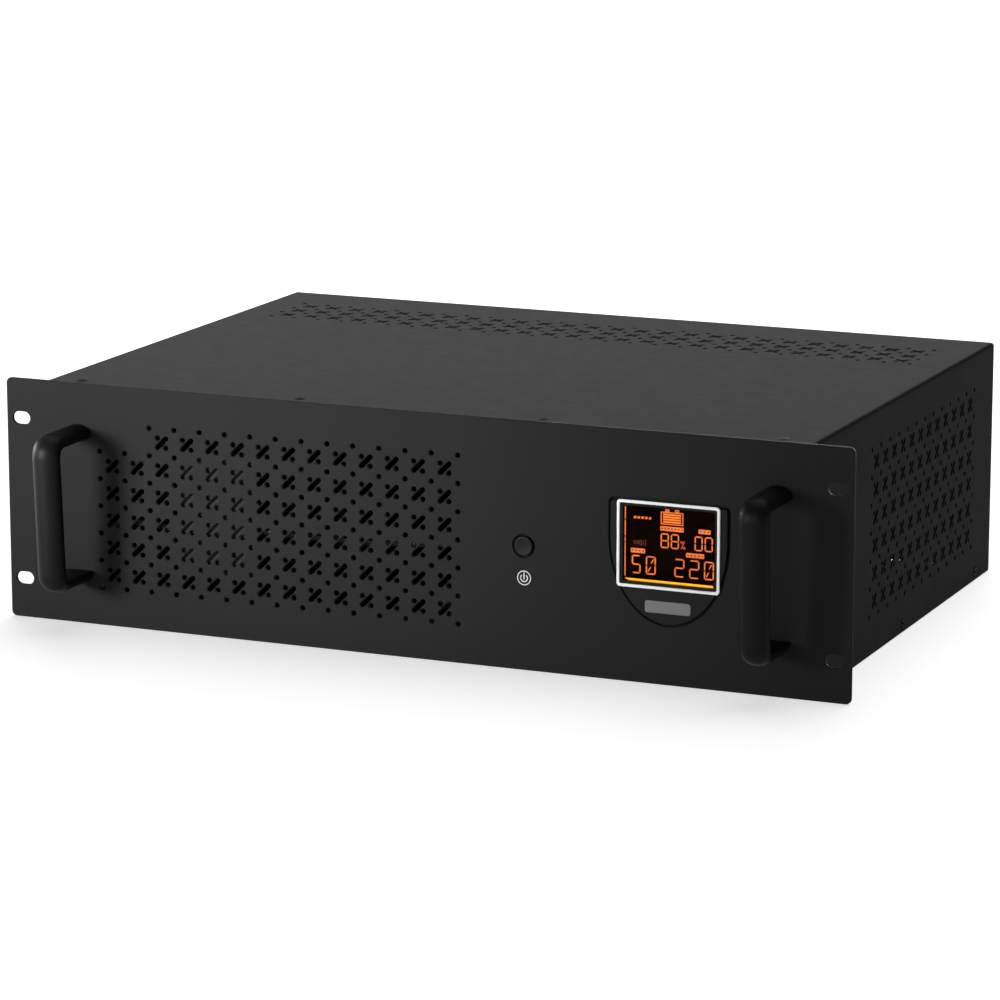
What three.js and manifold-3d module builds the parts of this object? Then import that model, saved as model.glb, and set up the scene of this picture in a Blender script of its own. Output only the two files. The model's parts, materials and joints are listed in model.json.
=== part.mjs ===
// A 3U rack-mount uninterruptible power supply: a 19-inch front panel with two pull handles and a
// small display, a vented sheet-metal case, and the batteries, transformer and board inside it.
// Millimetres, +Z up. The front panel faces -Y. The origin is under the middle of the whole object.
import * as THREE from "three";
import { mergeVertices } from "three/addons/utils/BufferGeometryUtils.js";
import Module from "manifold-3d";

const wasm = await Module();
wasm.setup();

// ---- Driving dimensions. Inside the case group, y = 0 is the front panel's face, x = 0 its middle.

const GAP = 0.3; // between pieces that touch
const PANEL = { width: 482.6, height: 132.5, thickness: 2, corner: 3 };
const RACK = { x: 232.5, pitch: 88.9, slotWidth: 10.5, slotHeight: 7 };
const CASE = { width: 437.5, height: 132, rear: 312, sheet: 1, bend: 2, pan: 1.2, flange: 14 };
const VENT = { pitch: 15, length: 9.6, width: 2.5 };
const FRONT_VENTS = { x: -177.5, columns: 14, z: 28.5, rows: 6, skippedTopColumns: 2 };
const TOP_VENTS = { x: -187.5, columns: 26, y: 238.5, rows: 3 };
const SIDE_VENTS = { y: 103.5, columns: 12, z: 29, rows: 6 };
const HANDLE = { width: 16, depth: 6.8, low: 22.8, high: 110, reachLow: 37.5, reachHigh: 41 };
const HANDLE_X = { left: -198, right: 200.8 };
const HANDLE_BEND = 9; // radius of the bar's middle line
const BEZEL = { x: 142.5, halfWidth: 32.8, top: 96.4, straight: 76.75, bottom: 31.25, corner: 3 };
const BEZEL_PROUD = 1;
const CURVED_BEZEL = 5; // curve segments of the bezel's outline, and of the hole that it fits
const SCREEN = { x: 142.6, z: 73.3, width: 56.2, height: 45.6, line: 2 };
const BUTTON = { x: 62.1, z: 66.1, hole: 6.2, cap: 5.15, flange: 6.8 };
const TOP_SCREWS = { x: [-200, -70, 70, 200], y: 9.5 };
const SIDE_SCREWS = { y: [22.5, 153.5, 284.5], z: 5 };
const BATTERY = { x: -115, length: 151, depth: 65, height: 94, firstY: 18, pitch: 66.5 };
const STRAP = { x: -116, width: 45, sheet: 1.2, frontLegBottom: 33.6, foot: 9 };
const TRANSFORMER = { x: 125, y: 105, width: 114, stack: 60, height: 95, window: 19 };
const BOARD = { x: -75, y: 221, length: 236, depth: 104, z: 12, thickness: 1.6, post: 6 };
const HEATSINK = { x: [-150, -20], y: 192, width: 60, height: 55, base: 4 };
const FINS = { count: 7, thickness: 2.4, depth: 26 };
const CAPACITOR = { places: [[-95, 190], [-70, 190], [-95, 216]], radius: 11, height: 40 };
const RELAY = { x: [-60, -30], y: 245, width: 24, depth: 16, height: 20 };
const CHOKE = { x: 5, y: 250, radius: 13, thickness: 6 };
const FAN = { x: -160, z: 66, size: 80, depth: 25, duct: 37.5, hub: 16, blades: 7, corner: 35.75 };
const GUARD = { wire: 0.8, rings: [13, 22, 31], arm: 101 };
const OUTLET = { x: [38, 87, 136, 185], z: 92, size: 47, body: 22, cavity: 19.5, deep: 17.5 };
const INLET = { x: 176, z: 34, width: 27, height: 19.5, deep: 17, flangeWidth: 50, flangeHeight: 23 };
const BREAKER = { x: 118, z: 34, neck: 5.5, collar: 8, button: 4 };
const NETWORK = { x: -64, z: 34, width: 31, height: 14, jack: 7.7 };
const USB = { x: -20, z: 34, width: 12.4, height: 11.2 };

const INNER_HALF = CASE.width / 2 - CASE.sheet - GAP; // half the room between the cover's sides
const INNER_TOP = CASE.height - CASE.sheet - GAP;
const PAN_TOP = CASE.pan + GAP;
const REAR_PANEL = { front: CASE.rear - 1.2, back: CASE.rear };

// ---- Materials

const paint = (color, roughness, metalness) =>
  new THREE.MeshStandardMaterial({ color, roughness, metalness });
const POWDER_BLACK = () => paint(0x2b2c2e, 0.62, 0.25);
const SATIN_BLACK = () => paint(0x1d1e20, 0.45, 0);
const MATT_BLACK = () => paint(0x151618, 0.75, 0);
const BLACK_SCREW = () => paint(0x1a1b1c, 0.4, 0.8);
const ZINC_STEEL = () => paint(0xa3a7a8, 0.4, 0.9);
const ALUMINIUM = () => paint(0xb4b6b8, 0.35, 0.9);
const COPPER = () => paint(0x9a5a32, 0.45, 0.6);
const BOARD_GREEN = () => paint(0x1d5a35, 0.5, 0.1);
const SILVER_FRAME = () => paint(0xe4e5e6, 0.35, 0.1);
const DARK_WINDOW = () => paint(0x14100e, 0.12, 0);
const SCREEN_BROWN = () => paint(0x2a1a12, 0.3, 0);
const LAMINATIONS = () => paint(0x3a3d40, 0.55, 0.7);
const SLEEVE_BLUE = () => paint(0x1c2a4a, 0.4, 0.1);
const RELAY_BLUE = () => paint(0x2d5f9a, 0.45, 0);
const BUTTON_RED = () => paint(0x8c1d18, 0.45, 0);
const lead = (color) => paint(color, 0.55, 0);

// ---- Solids: three.js geometries, joined and cut with manifold-3d

function solid(geometry) {
  const bare = geometry.clone();
  bare.deleteAttribute("normal");
  bare.deleteAttribute("uv");
  const merged = mergeVertices(bare, 1e-4);
  return new wasm.Manifold(
    new wasm.Mesh({
      numProp: 3,
      vertProperties: merged.attributes.position.array,
      triVerts: new Uint32Array(merged.index.array),
    }),
  );
}

const joined = (solids) => solids.reduce((all, one) => all.add(one));
const cut = (body, ...tools) => body.subtract(joined(tools));

function geometryOf(body) {
  const mesh = body.getMesh();
  const geometry = new THREE.BufferGeometry();
  geometry.setAttribute("position", new THREE.BufferAttribute(mesh.vertProperties, 3));
  geometry.setIndex(new THREE.BufferAttribute(mesh.triVerts, 1));
  geometry.computeVertexNormals();
  return geometry;
}

// A block between two corners.
function block(x0, x1, y0, y1, z0, z1) {
  const geometry = new THREE.BoxGeometry(x1 - x0, y1 - y0, z1 - z0);
  return solid(geometry.translate((x0 + x1) / 2, (y0 + y1) / 2, (z0 + z1) / 2));
}

// A block centred on x and z that runs from y0 to y1.
const blockAt = (x, z, width, height, y0, y1) =>
  block(x - width / 2, x + width / 2, y0, y1, z - height / 2, z + height / 2);

function rodY(radius, y0, y1, x = 0, z = 0, sides = 16) {
  const geometry = new THREE.CylinderGeometry(radius, radius, y1 - y0, sides);
  return solid(geometry.translate(x, (y0 + y1) / 2, z));
}

function rodZ(radius, z0, z1, x = 0, y = 0, sides = 12) {
  const geometry = new THREE.CylinderGeometry(radius, radius, z1 - z0, sides);
  return solid(geometry.rotateX(Math.PI / 2).translate(x, y, (z0 + z1) / 2));
}

// An outline drawn in x and z, carried from y0 to y1.
function plateY(shape, y0, y1, curveSegments = 2) {
  const depth = y1 - y0;
  const geometry = new THREE.ExtrudeGeometry(shape, { depth, bevelEnabled: false, curveSegments });
  return solid(geometry.rotateX(Math.PI / 2).translate(0, y1, 0));
}

function roundedRectangle(x, z, width, height, radius) {
  const [x0, x1, z0, z1] = [x - width / 2, x + width / 2, z - height / 2, z + height / 2];
  const shape = new THREE.Shape();
  shape.absarc(x1 - radius, z0 + radius, radius, -Math.PI / 2, 0, false);
  shape.absarc(x1 - radius, z1 - radius, radius, 0, Math.PI / 2, false);
  shape.absarc(x0 + radius, z1 - radius, radius, Math.PI / 2, Math.PI, false);
  shape.absarc(x0 + radius, z0 + radius, radius, Math.PI, Math.PI * 1.5, false);
  shape.closePath();
  return shape;
}

function lathe(points, sides) {
  const profile = points.map(([radius, height]) => new THREE.Vector2(radius, height));
  return new THREE.LatheGeometry(profile, sides);
}

// A tube with an eight-sided section along a curve.
function tube(curve, radius, steps) {
  const section = new THREE.Shape().absarc(0, 0, radius, 0, Math.PI * 2, false);
  section.closePath();
  return new THREE.ExtrudeGeometry(section, {
    extrudePath: curve,
    steps,
    curveSegments: 4,
    bevelEnabled: false,
  });
}

// ---- Vents: one slanted slot in each 15 mm cell

// The cutters of a grid of slots. place(column, row) gives a slot's middle, or null for none.
function slotCutters(columns, rows, turn, place) {
  const cutters = [];
  for (let row = 0; row < rows; row++) {
    for (let column = 0; column < columns; column++) {
      const middle = place(column, row);
      if (!middle) continue;
      const geometry = new THREE.BoxGeometry(VENT.length, VENT.width, 8);
      geometry.rotateZ(Math.PI / 4).applyMatrix4(turn);
      cutters.push(solid(geometry.translate(...middle)));
    }
  }
  return cutters;
}

const basis = (right, up, out) =>
  new THREE.Matrix4().makeBasis(
    new THREE.Vector3(...right),
    new THREE.Vector3(...up),
    new THREE.Vector3(...out),
  );
const SEEN_FROM_FRONT = basis([1, 0, 0], [0, 0, 1], [0, -1, 0]);
const SEEN_FROM_TOP = basis([1, 0, 0], [0, 1, 0], [0, 0, 1]);
const SEEN_FROM_RIGHT = basis([0, 1, 0], [0, 0, 1], [1, 0, 0]);
const SEEN_FROM_LEFT = basis([0, -1, 0], [0, 0, 1], [-1, 0, 0]);

function frontVents() {
  const { x, z, columns, rows, skippedTopColumns } = FRONT_VENTS;
  return slotCutters(columns, rows, SEEN_FROM_FRONT, (column, row) => {
    if (row === rows - 1 && column < skippedTopColumns) return null;
    return [x + column * VENT.pitch, PANEL.thickness / 2, z + row * VENT.pitch];
  });
}

function coverVents() {
  const side = (sign) => (column, row) => [
    sign * (CASE.width / 2),
    SIDE_VENTS.y + column * VENT.pitch,
    SIDE_VENTS.z + row * VENT.pitch,
  ];
  const top = (column, row) => [
    TOP_VENTS.x + column * VENT.pitch,
    TOP_VENTS.y + row * VENT.pitch,
    CASE.height,
  ];
  return [
    ...slotCutters(TOP_VENTS.columns, TOP_VENTS.rows, SEEN_FROM_TOP, top),
    ...slotCutters(SIDE_VENTS.columns, SIDE_VENTS.rows, SEEN_FROM_RIGHT, side(1)),
    ...slotCutters(SIDE_VENTS.columns, SIDE_VENTS.rows, SEEN_FROM_LEFT, side(-1)),
  ];
}

// ---- Case

const SCREW = { head: 2.75, headHeight: 1, shank: 1.5, length: 6, hole: 1.8, sides: 8 };

function chassisPan() {
  const edge = INNER_HALF - CASE.pan;
  const pan = joined([
    block(-INNER_HALF, INNER_HALF, PANEL.thickness + GAP, CASE.rear, 0, CASE.pan),
    block(-INNER_HALF, -edge, PANEL.thickness + GAP, REAR_PANEL.front - GAP, 0, CASE.flange),
    block(edge, INNER_HALF, PANEL.thickness + GAP, REAR_PANEL.front - GAP, 0, CASE.flange),
    block(-edge, edge, PANEL.thickness + GAP, PANEL.thickness + GAP + CASE.pan, 0, 10),
    ...boardCorners().map(([x, y]) => rodZ(3, 0, BOARD.z - GAP, x, y, 8)),
  ]);
  return cut(pan, ...sideScrewHoles(edge - 1, INNER_HALF + 1, SCREW.hole));
}

const boardCorners = () =>
  [-1, 1].flatMap((i) =>
    [-1, 1].map((j) => [
      BOARD.x + i * (BOARD.length / 2 - BOARD.post),
      BOARD.y + j * (BOARD.depth / 2 - BOARD.post),
    ]),
  );

// Cutters through both sides of the case, between two distances from its middle.
function sideScrewHoles(from, to, radius) {
  return SIDE_SCREWS.y.flatMap((y) =>
    [-1, 1].map((sign) => {
      const hole = new THREE.CylinderGeometry(radius, radius, to - from, SCREW.sides);
      const x = (sign * (from + to)) / 2;
      return solid(hole.rotateZ(Math.PI / 2).translate(x, y, SIDE_SCREWS.z));
    }),
  );
}

// The cover's outline in x and z: a top and two sides of bent sheet.
function coverOutline() {
  const { width, height, sheet, bend } = CASE;
  const [half, low] = [width / 2, GAP];
  const inner = bend - sheet;
  const shape = new THREE.Shape();
  shape.moveTo(half - sheet, low);
  shape.lineTo(half, low);
  shape.absarc(half - bend, height - bend, bend, 0, Math.PI / 2, false);
  shape.absarc(-half + bend, height - bend, bend, Math.PI / 2, Math.PI, false);
  shape.lineTo(-half, low);
  shape.lineTo(-half + sheet, low);
  shape.absarc(-half + bend, height - bend, inner, Math.PI, Math.PI / 2, true);
  shape.absarc(half - bend, height - bend, inner, Math.PI / 2, 0, true);
  shape.closePath();
  return shape;
}

function topCover() {
  const headHole = SCREW.head + GAP;
  const cover = plateY(coverOutline(), PANEL.thickness + GAP, CASE.rear);
  const topHoles = TOP_SCREWS.x.map((x) =>
    rodZ(headHole, INNER_TOP - 1, CASE.height + 1, x, TOP_SCREWS.y, SCREW.sides),
  );
  const sideHoles = sideScrewHoles(INNER_HALF - 1, CASE.width / 2 + 1, headHole);
  return cut(cover, ...coverVents(), ...topHoles, ...sideHoles);
}

function frontPanel() {
  const { width, height, thickness, corner } = PANEL;
  const outline = roundedRectangle(0, height / 2, width, height, corner);
  for (const x of [-RACK.x, RACK.x]) {
    for (const z of [(height - RACK.pitch) / 2, (height + RACK.pitch) / 2]) {
      const { slotWidth, slotHeight } = RACK;
      outline.holes.push(roundedRectangle(x, z, slotWidth, slotHeight, slotHeight / 2 - 0.01));
    }
  }
  const flangeHalf = INNER_HALF - 1;
  const flangeLow = INNER_TOP - GAP - CASE.pan;
  const sheet = plateY(outline, 0, thickness).subtract(panelRelief());
  const flange = block(-flangeHalf, flangeHalf, thickness - 0.5, 20, flangeLow, INNER_TOP - GAP);
  return cut(
    sheet.add(flange),
    plateY(shield(GAP), -1, thickness + 1, CURVED_BEZEL),
    rodY(BUTTON.hole, -1, thickness + 1, BUTTON.x, BUTTON.z, 24),
    ...TOP_SCREWS.x.map((x) => rodZ(SCREW.hole, 120, 140, x, TOP_SCREWS.y, SCREW.sides)),
    ...handleScrewPlaces().map(([x, z]) => rodY(2.3, -1, thickness + 1, x, z, 10)),
    ...frontVents(),
  );
}

// A shallow relief behind the panel, where the case seats. The ears beside it keep the full sheet.
function panelRelief() {
  const half = CASE.width / 2 + 0.7;
  return block(-half, half, PANEL.thickness - 0.1, PANEL.thickness + 1, -1, PANEL.height + 1);
}

function rearPanel() {
  const half = INNER_HALF;
  const [y0, y1] = [REAR_PANEL.front, REAR_PANEL.back];
  return cut(
    block(-half, half, y0, y1, PAN_TOP, INNER_TOP),
    rodY(FAN.duct + 0.5, y0 - 1, y1 + 1, FAN.x, FAN.z, 24),
    ...OUTLET.x.map((x) => rodY(OUTLET.body + GAP, y0 - 1, y1 + 1, x, OUTLET.z)),
    opening(INLET.x, INLET.z, INLET.width, INLET.height),
    opening(NETWORK.x, NETWORK.z, NETWORK.width, NETWORK.height),
    opening(USB.x, USB.z, USB.width, USB.height),
    rodY(BREAKER.neck + GAP, y0 - 1, y1 + 1, BREAKER.x, BREAKER.z, 12),
  );
}

const opening = (x, z, width, height) =>
  blockAt(x, z, width + 2 * GAP, height + 2 * GAP, REAR_PANEL.front - 1, REAR_PANEL.back + 1);

// ---- Handles

const handleScrewPlaces = () =>
  [HANDLE_X.left, HANDLE_X.right].flatMap((x) =>
    [HANDLE.low + HANDLE.depth / 2, HANDLE.high - HANDLE.depth / 2].map((z) => [x, z]),
  );

// The middle line of the bar, in y and z: out from the panel, up and back, leaning out a little.
function handlePath() {
  const half = HANDLE.depth / 2;
  const [low, high] = [HANDLE.low + half, HANDLE.high - half];
  const [outLow, outHigh] = [half - HANDLE.reachLow, half - HANDLE.reachHigh];
  const point = (y, z) => new THREE.Vector3(0, y, z);
  const path = new THREE.CurvePath();
  const corner = (a, b, c) => path.add(new THREE.QuadraticBezierCurve3(a, b, c));
  const line = (a, b) => path.add(new THREE.LineCurve3(a, b));
  const lowBend = point(outLow + HANDLE_BEND, low);
  const highBend = point(outHigh + HANDLE_BEND, high);
  line(point(-GAP, low), lowBend);
  corner(lowBend, point(outLow, low), point(outLow, low + HANDLE_BEND));
  line(point(outLow, low + HANDLE_BEND), point(outHigh, high - HANDLE_BEND));
  corner(point(outHigh, high - HANDLE_BEND), point(outHigh, high), highBend);
  line(highBend, point(-GAP, high));
  return path;
}

// A half-oval section: flat towards the hand's inner side, round outside.
function handleSection() {
  const [depth, half] = [HANDLE.depth / 2, HANDLE.width / 2];
  const edge = 5;
  const shape = new THREE.Shape();
  shape.moveTo(-depth, -half);
  shape.lineTo(depth - edge, -half);
  shape.absarc(depth - edge, -half + edge, edge, -Math.PI / 2, 0, false);
  shape.absarc(depth - edge, half - edge, edge, 0, Math.PI / 2, false);
  shape.lineTo(-depth, half);
  shape.closePath();
  return shape;
}

function handle() {
  const bar = new THREE.ExtrudeGeometry(handleSection(), {
    extrudePath: handlePath(),
    steps: 18,
    curveSegments: 2,
    bevelEnabled: false,
  });
  const holes = [HANDLE.low + HANDLE.depth / 2, HANDLE.high - HANDLE.depth / 2].map((z) =>
    rodY(2, -14, 1, 0, z, 10),
  );
  return cut(solid(bar), ...holes);
}

// ---- Fasteners: each is turned so that its head is at the top, at z = 0

function countersunkScrew() {
  const { head, headHeight, shank, length, sides } = SCREW;
  return lathe(
    [[0, -length], [shank, -length], [shank, -headHeight], [head, -headHeight], [head, 0], [0, 0]],
    sides,
  ).rotateX(Math.PI / 2);
}

function panScrew() {
  return lathe([[0, -13], [1.7, -13], [1.7, 0], [3.4, 0], [3.4, 2], [0, 2]], SCREW.sides).rotateX(
    Math.PI / 2,
  );
}

// ---- Display

// The bezel's outline: straight sides and a half-ellipse below, grown all round by grow.
function shield(grow = 0) {
  const { x, halfWidth, top, straight, bottom, corner } = BEZEL;
  const [half, high, radius] = [halfWidth + grow, top + grow, corner + grow];
  const shape = new THREE.Shape();
  shape.absarc(x + half - radius, high - radius, radius, 0, Math.PI / 2, false);
  shape.absarc(x - half + radius, high - radius, radius, Math.PI / 2, Math.PI, false);
  shape.absellipse(x, straight, half, straight - bottom + grow, Math.PI, Math.PI * 2, false);
  shape.closePath();
  return shape;
}

function screenRectangle(inset, radius) {
  const { x, z, width, height } = SCREEN;
  return roundedRectangle(x, z, width - 2 * inset, height - 2 * inset, radius);
}

function displayBezel() {
  const back = PANEL.thickness + GAP;
  const face = plateY(shield(), -BEZEL_PROUD, back + 0.1, CURVED_BEZEL);
  const flange = plateY(shield(2), back, back + 1.5, CURVED_BEZEL);
  const walls = blockAt(SCREEN.x, SCREEN.z, 60, 50, back + 1, 11).subtract(
    blockAt(SCREEN.x, SCREEN.z, 56, 46, back + 1.5, 12),
  );
  const window = plateY(screenRectangle(SCREEN.line, 0.8), -2, 12);
  return cut(joined([face, flange, walls]), window);
}

function displayFrame() {
  const ring = screenRectangle(0, 1.8);
  ring.holes.push(screenRectangle(SCREEN.line, 0.8));
  return plateY(ring, -BEZEL_PROUD - GAP - 0.7, -BEZEL_PROUD - GAP);
}

const screenBlock = (inset, y0, y1) =>
  blockAt(SCREEN.x, SCREEN.z, SCREEN.width - 2 * inset, SCREEN.height - 2 * inset, y0, y1);

// ---- Power button. Its parts are made on the button's axis, with y = 0 at the panel's face.

function buttonCap() {
  const { cap, flange } = BUTTON;
  return lathe(
    [[0, -0.8], [cap - 1.2, -0.7], [cap - 0.2, -0.2], [cap, 0.3], [cap, 2.5], [flange, 2.5],
      [flange, 3.5], [2, 3.5], [2, 12], [0, 12]],
    20,
  );
}

function switchBody() {
  return cut(blockAt(0, 0, 16, 16, 9, 24), rodY(2.4, 8, 17, 0, 0, 12));
}

function buttonSpring() {
  const [turns, radius, from, to] = [3, 3.6, 4.2, 8.3];
  class Helix extends THREE.Curve {
    getPoint(t, target = new THREE.Vector3()) {
      const angle = t * turns * Math.PI * 2;
      return target.set(radius * Math.cos(angle), from + (to - from) * t, radius * Math.sin(angle));
    }
  }
  return tube(new Helix(), 0.35, 24);
}

function switchBracket() {
  return joined([
    block(BUTTON.x - 12, BUTTON.x + 12, 24.3, 25.5, PAN_TOP, 82),
    block(BUTTON.x - 12, BUTTON.x + 12, 24.3, 42, PAN_TOP, PAN_TOP + 1.2),
  ]);
}

// ---- Inside the case

const BATTERY_LID = 1; // how far the lid stands above the battery's body
const TERMINAL = { x: 60, y: -20, width: 6, thickness: 2, height: 5 };

function battery() {
  const { length, depth, height } = BATTERY;
  const { x, y, width, thickness } = TERMINAL;
  const box = (inset, low, high) =>
    block(inset - length / 2, length / 2 - inset, inset - depth / 2, depth / 2 - inset, low, high);
  const terminals = [-x, x].map((middle) =>
    block(middle - width / 2, middle + width / 2, y - thickness / 2, y + thickness / 2,
      height - 1, height + TERMINAL.height),
  );
  return joined([box(0, 0, height), box(2, height - 1, height + BATTERY_LID), ...terminals]);
}

// A strap over both batteries. Its front leg hangs behind the panel, and its rear leg has a foot.
function batteryStrap() {
  const { height, firstY, pitch, depth } = BATTERY;
  const { x, width, sheet, frontLegBottom, foot } = STRAP;
  const [x0, x1] = [x - width / 2, x + width / 2];
  const [y0, y1] = [PANEL.thickness + GAP, firstY + pitch + depth + sheet];
  const under = PAN_TOP + height + BATTERY_LID + GAP;
  const top = under + sheet;
  return joined([
    block(x0, x1, y0, y1 + sheet, under, top),
    block(x0, x1, y0, y0 + sheet, frontLegBottom, top),
    block(x0, x1, y1, y1 + sheet, PAN_TOP, top),
    block(x0, x1, y1, y1 + foot, PAN_TOP, PAN_TOP + sheet),
  ]);
}

// The transformer's pieces stand on z = 0, centred on x and y.
const TRANSFORMER_BAR = { yoke: 19, leg: 38 };

function transformerCore() {
  const { width, stack, height, window } = TRANSFORMER;
  const { yoke, leg } = TRANSFORMER_BAR;
  const hole = (sign) => {
    const x = sign * (leg / 2 + window / 2);
    return block(x - window / 2, x + window / 2, -stack, stack, yoke, height - yoke);
  };
  return cut(block(-width / 2, width / 2, -stack / 2, stack / 2, 0, height), hole(-1), hole(1));
}

function transformerWinding() {
  const { stack, height, window } = TRANSFORMER;
  const { yoke, leg } = TRANSFORMER_BAR;
  const half = leg / 2 + window - 2;
  const [low, high] = [yoke + GAP, height - yoke - GAP];
  return cut(
    block(-half, half, -stack / 2 - 17, stack / 2 + 17, low, high),
    block(-leg / 2 - GAP, leg / 2 + GAP, -stack / 2 - GAP, stack / 2 + GAP, low - 1, high + 1),
  );
}

function transformerClamp() {
  const { width, height } = TRANSFORMER;
  const [inner, outer] = [width / 2 + GAP, width / 2 + GAP + 1.5];
  const depth = 18;
  return joined([
    block(-outer, outer, -depth, depth, height + GAP, height + GAP + 1.5),
    block(-outer, -inner, -depth, depth, 0, height + GAP + 1.5),
    block(inner, outer, -depth, depth, 0, height + GAP + 1.5),
    block(-outer - 14, -inner, -depth, depth, 0, 1.5),
    block(inner, outer + 14, -depth, depth, 0, 1.5),
  ]);
}

function mainBoard() {
  const { length, depth, thickness } = BOARD;
  return block(-length / 2, length / 2, -depth / 2, depth / 2, 0, thickness);
}

function heatsink() {
  const { width, height, base } = HEATSINK;
  const pitch = (width - FINS.thickness) / (FINS.count - 1);
  const pieces = [block(-width / 2, width / 2, -base, 0.5, 0, height)];
  for (let i = 0; i < FINS.count; i++) {
    const x = i * pitch - width / 2;
    pieces.push(block(x, x + FINS.thickness, 0, FINS.depth, 0, height));
  }
  return joined(pieces);
}

function capacitor() {
  const { radius, height } = CAPACITOR;
  const [inner, edge] = [radius - 1, 1];
  const profile = [[0, 0], [inner, 0], [radius, edge], [radius, height - edge], [inner, height], [0, height]];
  return lathe(profile, 14).rotateX(Math.PI / 2);
}

const relay = () =>
  block(-RELAY.width / 2, RELAY.width / 2, -RELAY.depth / 2, RELAY.depth / 2, 0, RELAY.height);

const choke = () => new THREE.TorusGeometry(CHOKE.radius, CHOKE.thickness, 8, 16);

// ---- Fan. Its parts are made on its axis, with y = 0 at the frame's rear face.

const FAN_HUB_GAP = 1.5;

function fanFrame() {
  const { size, depth, duct, hub } = FAN;
  const outline = roundedRectangle(0, 0, size, size, 4);
  const ring = cut(plateY(outline, -depth, 0), rodY(duct, -depth - 1, 1, 0, 0, 24));
  const struts = [0, 1, 2].map((i) => {
    const strut = new THREE.BoxGeometry(duct, 3, 3).translate(duct / 2 + 2, -2, 0);
    return solid(strut.rotateY((i * Math.PI * 2) / 3 + 0.5));
  });
  const mount = rodY(hub - 1, -4.5, -0.3, 0, 0, 16);
  const holes = fanCorners().map(([x, z]) => rodY(2.15, -depth - 1, 1, x, z, 8));
  return cut(joined([ring, mount, ...struts]), rodY(2, -6, 1, 0, 0, 10), ...holes);
}

const fanCorners = () =>
  [-FAN.corner, FAN.corner].flatMap((x) => [-FAN.corner, FAN.corner].map((z) => [x, z]));

function fanRotor() {
  const { depth, duct, hub, blades } = FAN;
  const [from, to] = [-depth + 2, -4.5 - FAN_HUB_GAP];
  const pieces = [rodY(hub, from, to, 0, 0, 16), rodY(1.5, from, -1.5, 0, 0, 10)];
  for (let i = 0; i < blades; i++) {
    const blade = new THREE.BoxGeometry(duct - hub - 1, 16, 1.6);
    blade.rotateX(0.65).translate(hub + (duct - hub) / 2 - 1.2, (from + to) / 2, 0);
    pieces.push(solid(blade.rotateY((i * Math.PI * 2) / blades)));
  }
  return joined(pieces);
}

function fanGuard() {
  const { wire, rings, arm } = GUARD;
  const circles = rings.map((radius) =>
    solid(new THREE.TorusGeometry(radius, wire, 4, 18).rotateX(Math.PI / 2)),
  );
  const arms = [1, 3].map((eighth) => {
    const bar = new THREE.BoxGeometry(arm, 2 * wire, 2 * wire).translate(0, -0.6, 0);
    return solid(bar.rotateY((eighth * Math.PI) / 4));
  });
  return joined([...circles, ...arms]);
}

// ---- Sockets on the rear. Each is made with y = 0 at the rear panel's outer face.

const PROUD = 2.8; // how far a socket's flange stands off the rear panel

function outlet() {
  const { size, body, cavity, deep } = OUTLET;
  const face = GAP + PROUD;
  const flange = plateY(roundedRectangle(0, 0, size, size, 5), GAP, face);
  const cup = rodY(body, face - 26, face - 0.5);
  const pins = [-9.5, 9.5].map((x) => rodY(2.7, face - 24, 0, x, 0, 8));
  return cut(flange.add(cup), rodY(cavity, face - deep, face + 1), ...pins);
}

function inlet() {
  const { width, height, deep, flangeWidth, flangeHeight } = INLET;
  const face = GAP + PROUD;
  const flange = plateY(roundedRectangle(0, 0, flangeWidth, flangeHeight, 4), GAP, face);
  const body = blockAt(0, 0, width, height, face - 24, face - 0.5);
  const cavity = blockAt(0, 0, width - 3, height - 3.5, face - deep, face + 1);
  const pins = [[-7, -1], [7, -1], [0, 3]].map(([x, z]) =>
    blockAt(x, z, 2, 4, face - deep - 1, face - 3),
  );
  return joined([cut(flange.add(body), cavity), ...pins]);
}

const BREAKER_BORE = 3;

function breakerBody() {
  const neck = rodY(BREAKER.neck, -8, 4, 0, 0, 12);
  const collar = rodY(BREAKER.collar, GAP, 2.5, 0, 0, 6);
  const box = blockAt(0, 0, 15, 27, -34, -7);
  return cut(joined([neck, collar, box]), rodY(BREAKER_BORE, -24, 5, 0, 0, 12));
}

function breakerButton() {
  const stem = rodY(BREAKER_BORE - 0.4, -18, 4.6, 0, 0, 10);
  const cap = new THREE.CylinderGeometry(BREAKER.button - 0.4, BREAKER.button, 2.2, 14);
  return stem.add(solid(cap.translate(0, 5.6, 0)));
}

function networkPorts() {
  const { width, height, jack } = NETWORK;
  const shell = blockAt(0, 0, width, height, -18, 1);
  const mouth = (x) => blockAt(x, 0, 11.8, 8.6, -12, 2).add(blockAt(x, -4.8, 5.5, 2.4, -12, 2));
  return cut(shell, mouth(-jack), mouth(jack));
}

function usbPort() {
  const shell = blockAt(0, 0, USB.width, USB.height, -16, 1);
  return cut(shell, blockAt(0, 0, 9, 8, -9, 2)).add(blockAt(0, 0, 5.6, 3.2, -9.5, -0.5));
}

// ---- Leads inside the case

const leadCurve = (...points) =>
  new THREE.CatmullRomCurve3(points.map(([x, y, z]) => new THREE.Vector3(x, y, z)));

// ---- Assembly

const caseGroup = new THREE.Group();

function add(name, shape, material, position = [0, 0, 0], rotation = [0, 0, 0]) {
  const geometry = shape.isBufferGeometry ? shape : geometryOf(shape);
  const mesh = new THREE.Mesh(geometry, material);
  mesh.name = name;
  mesh.position.set(...position);
  mesh.rotation.set(...rotation);
  caseGroup.add(mesh);
}

add("chassis_pan", chassisPan(), ZINC_STEEL());
add("top_cover", topCover(), POWDER_BLACK());
add("front_panel", frontPanel(), POWDER_BLACK());
add("rear_panel", rearPanel(), POWDER_BLACK());

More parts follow.
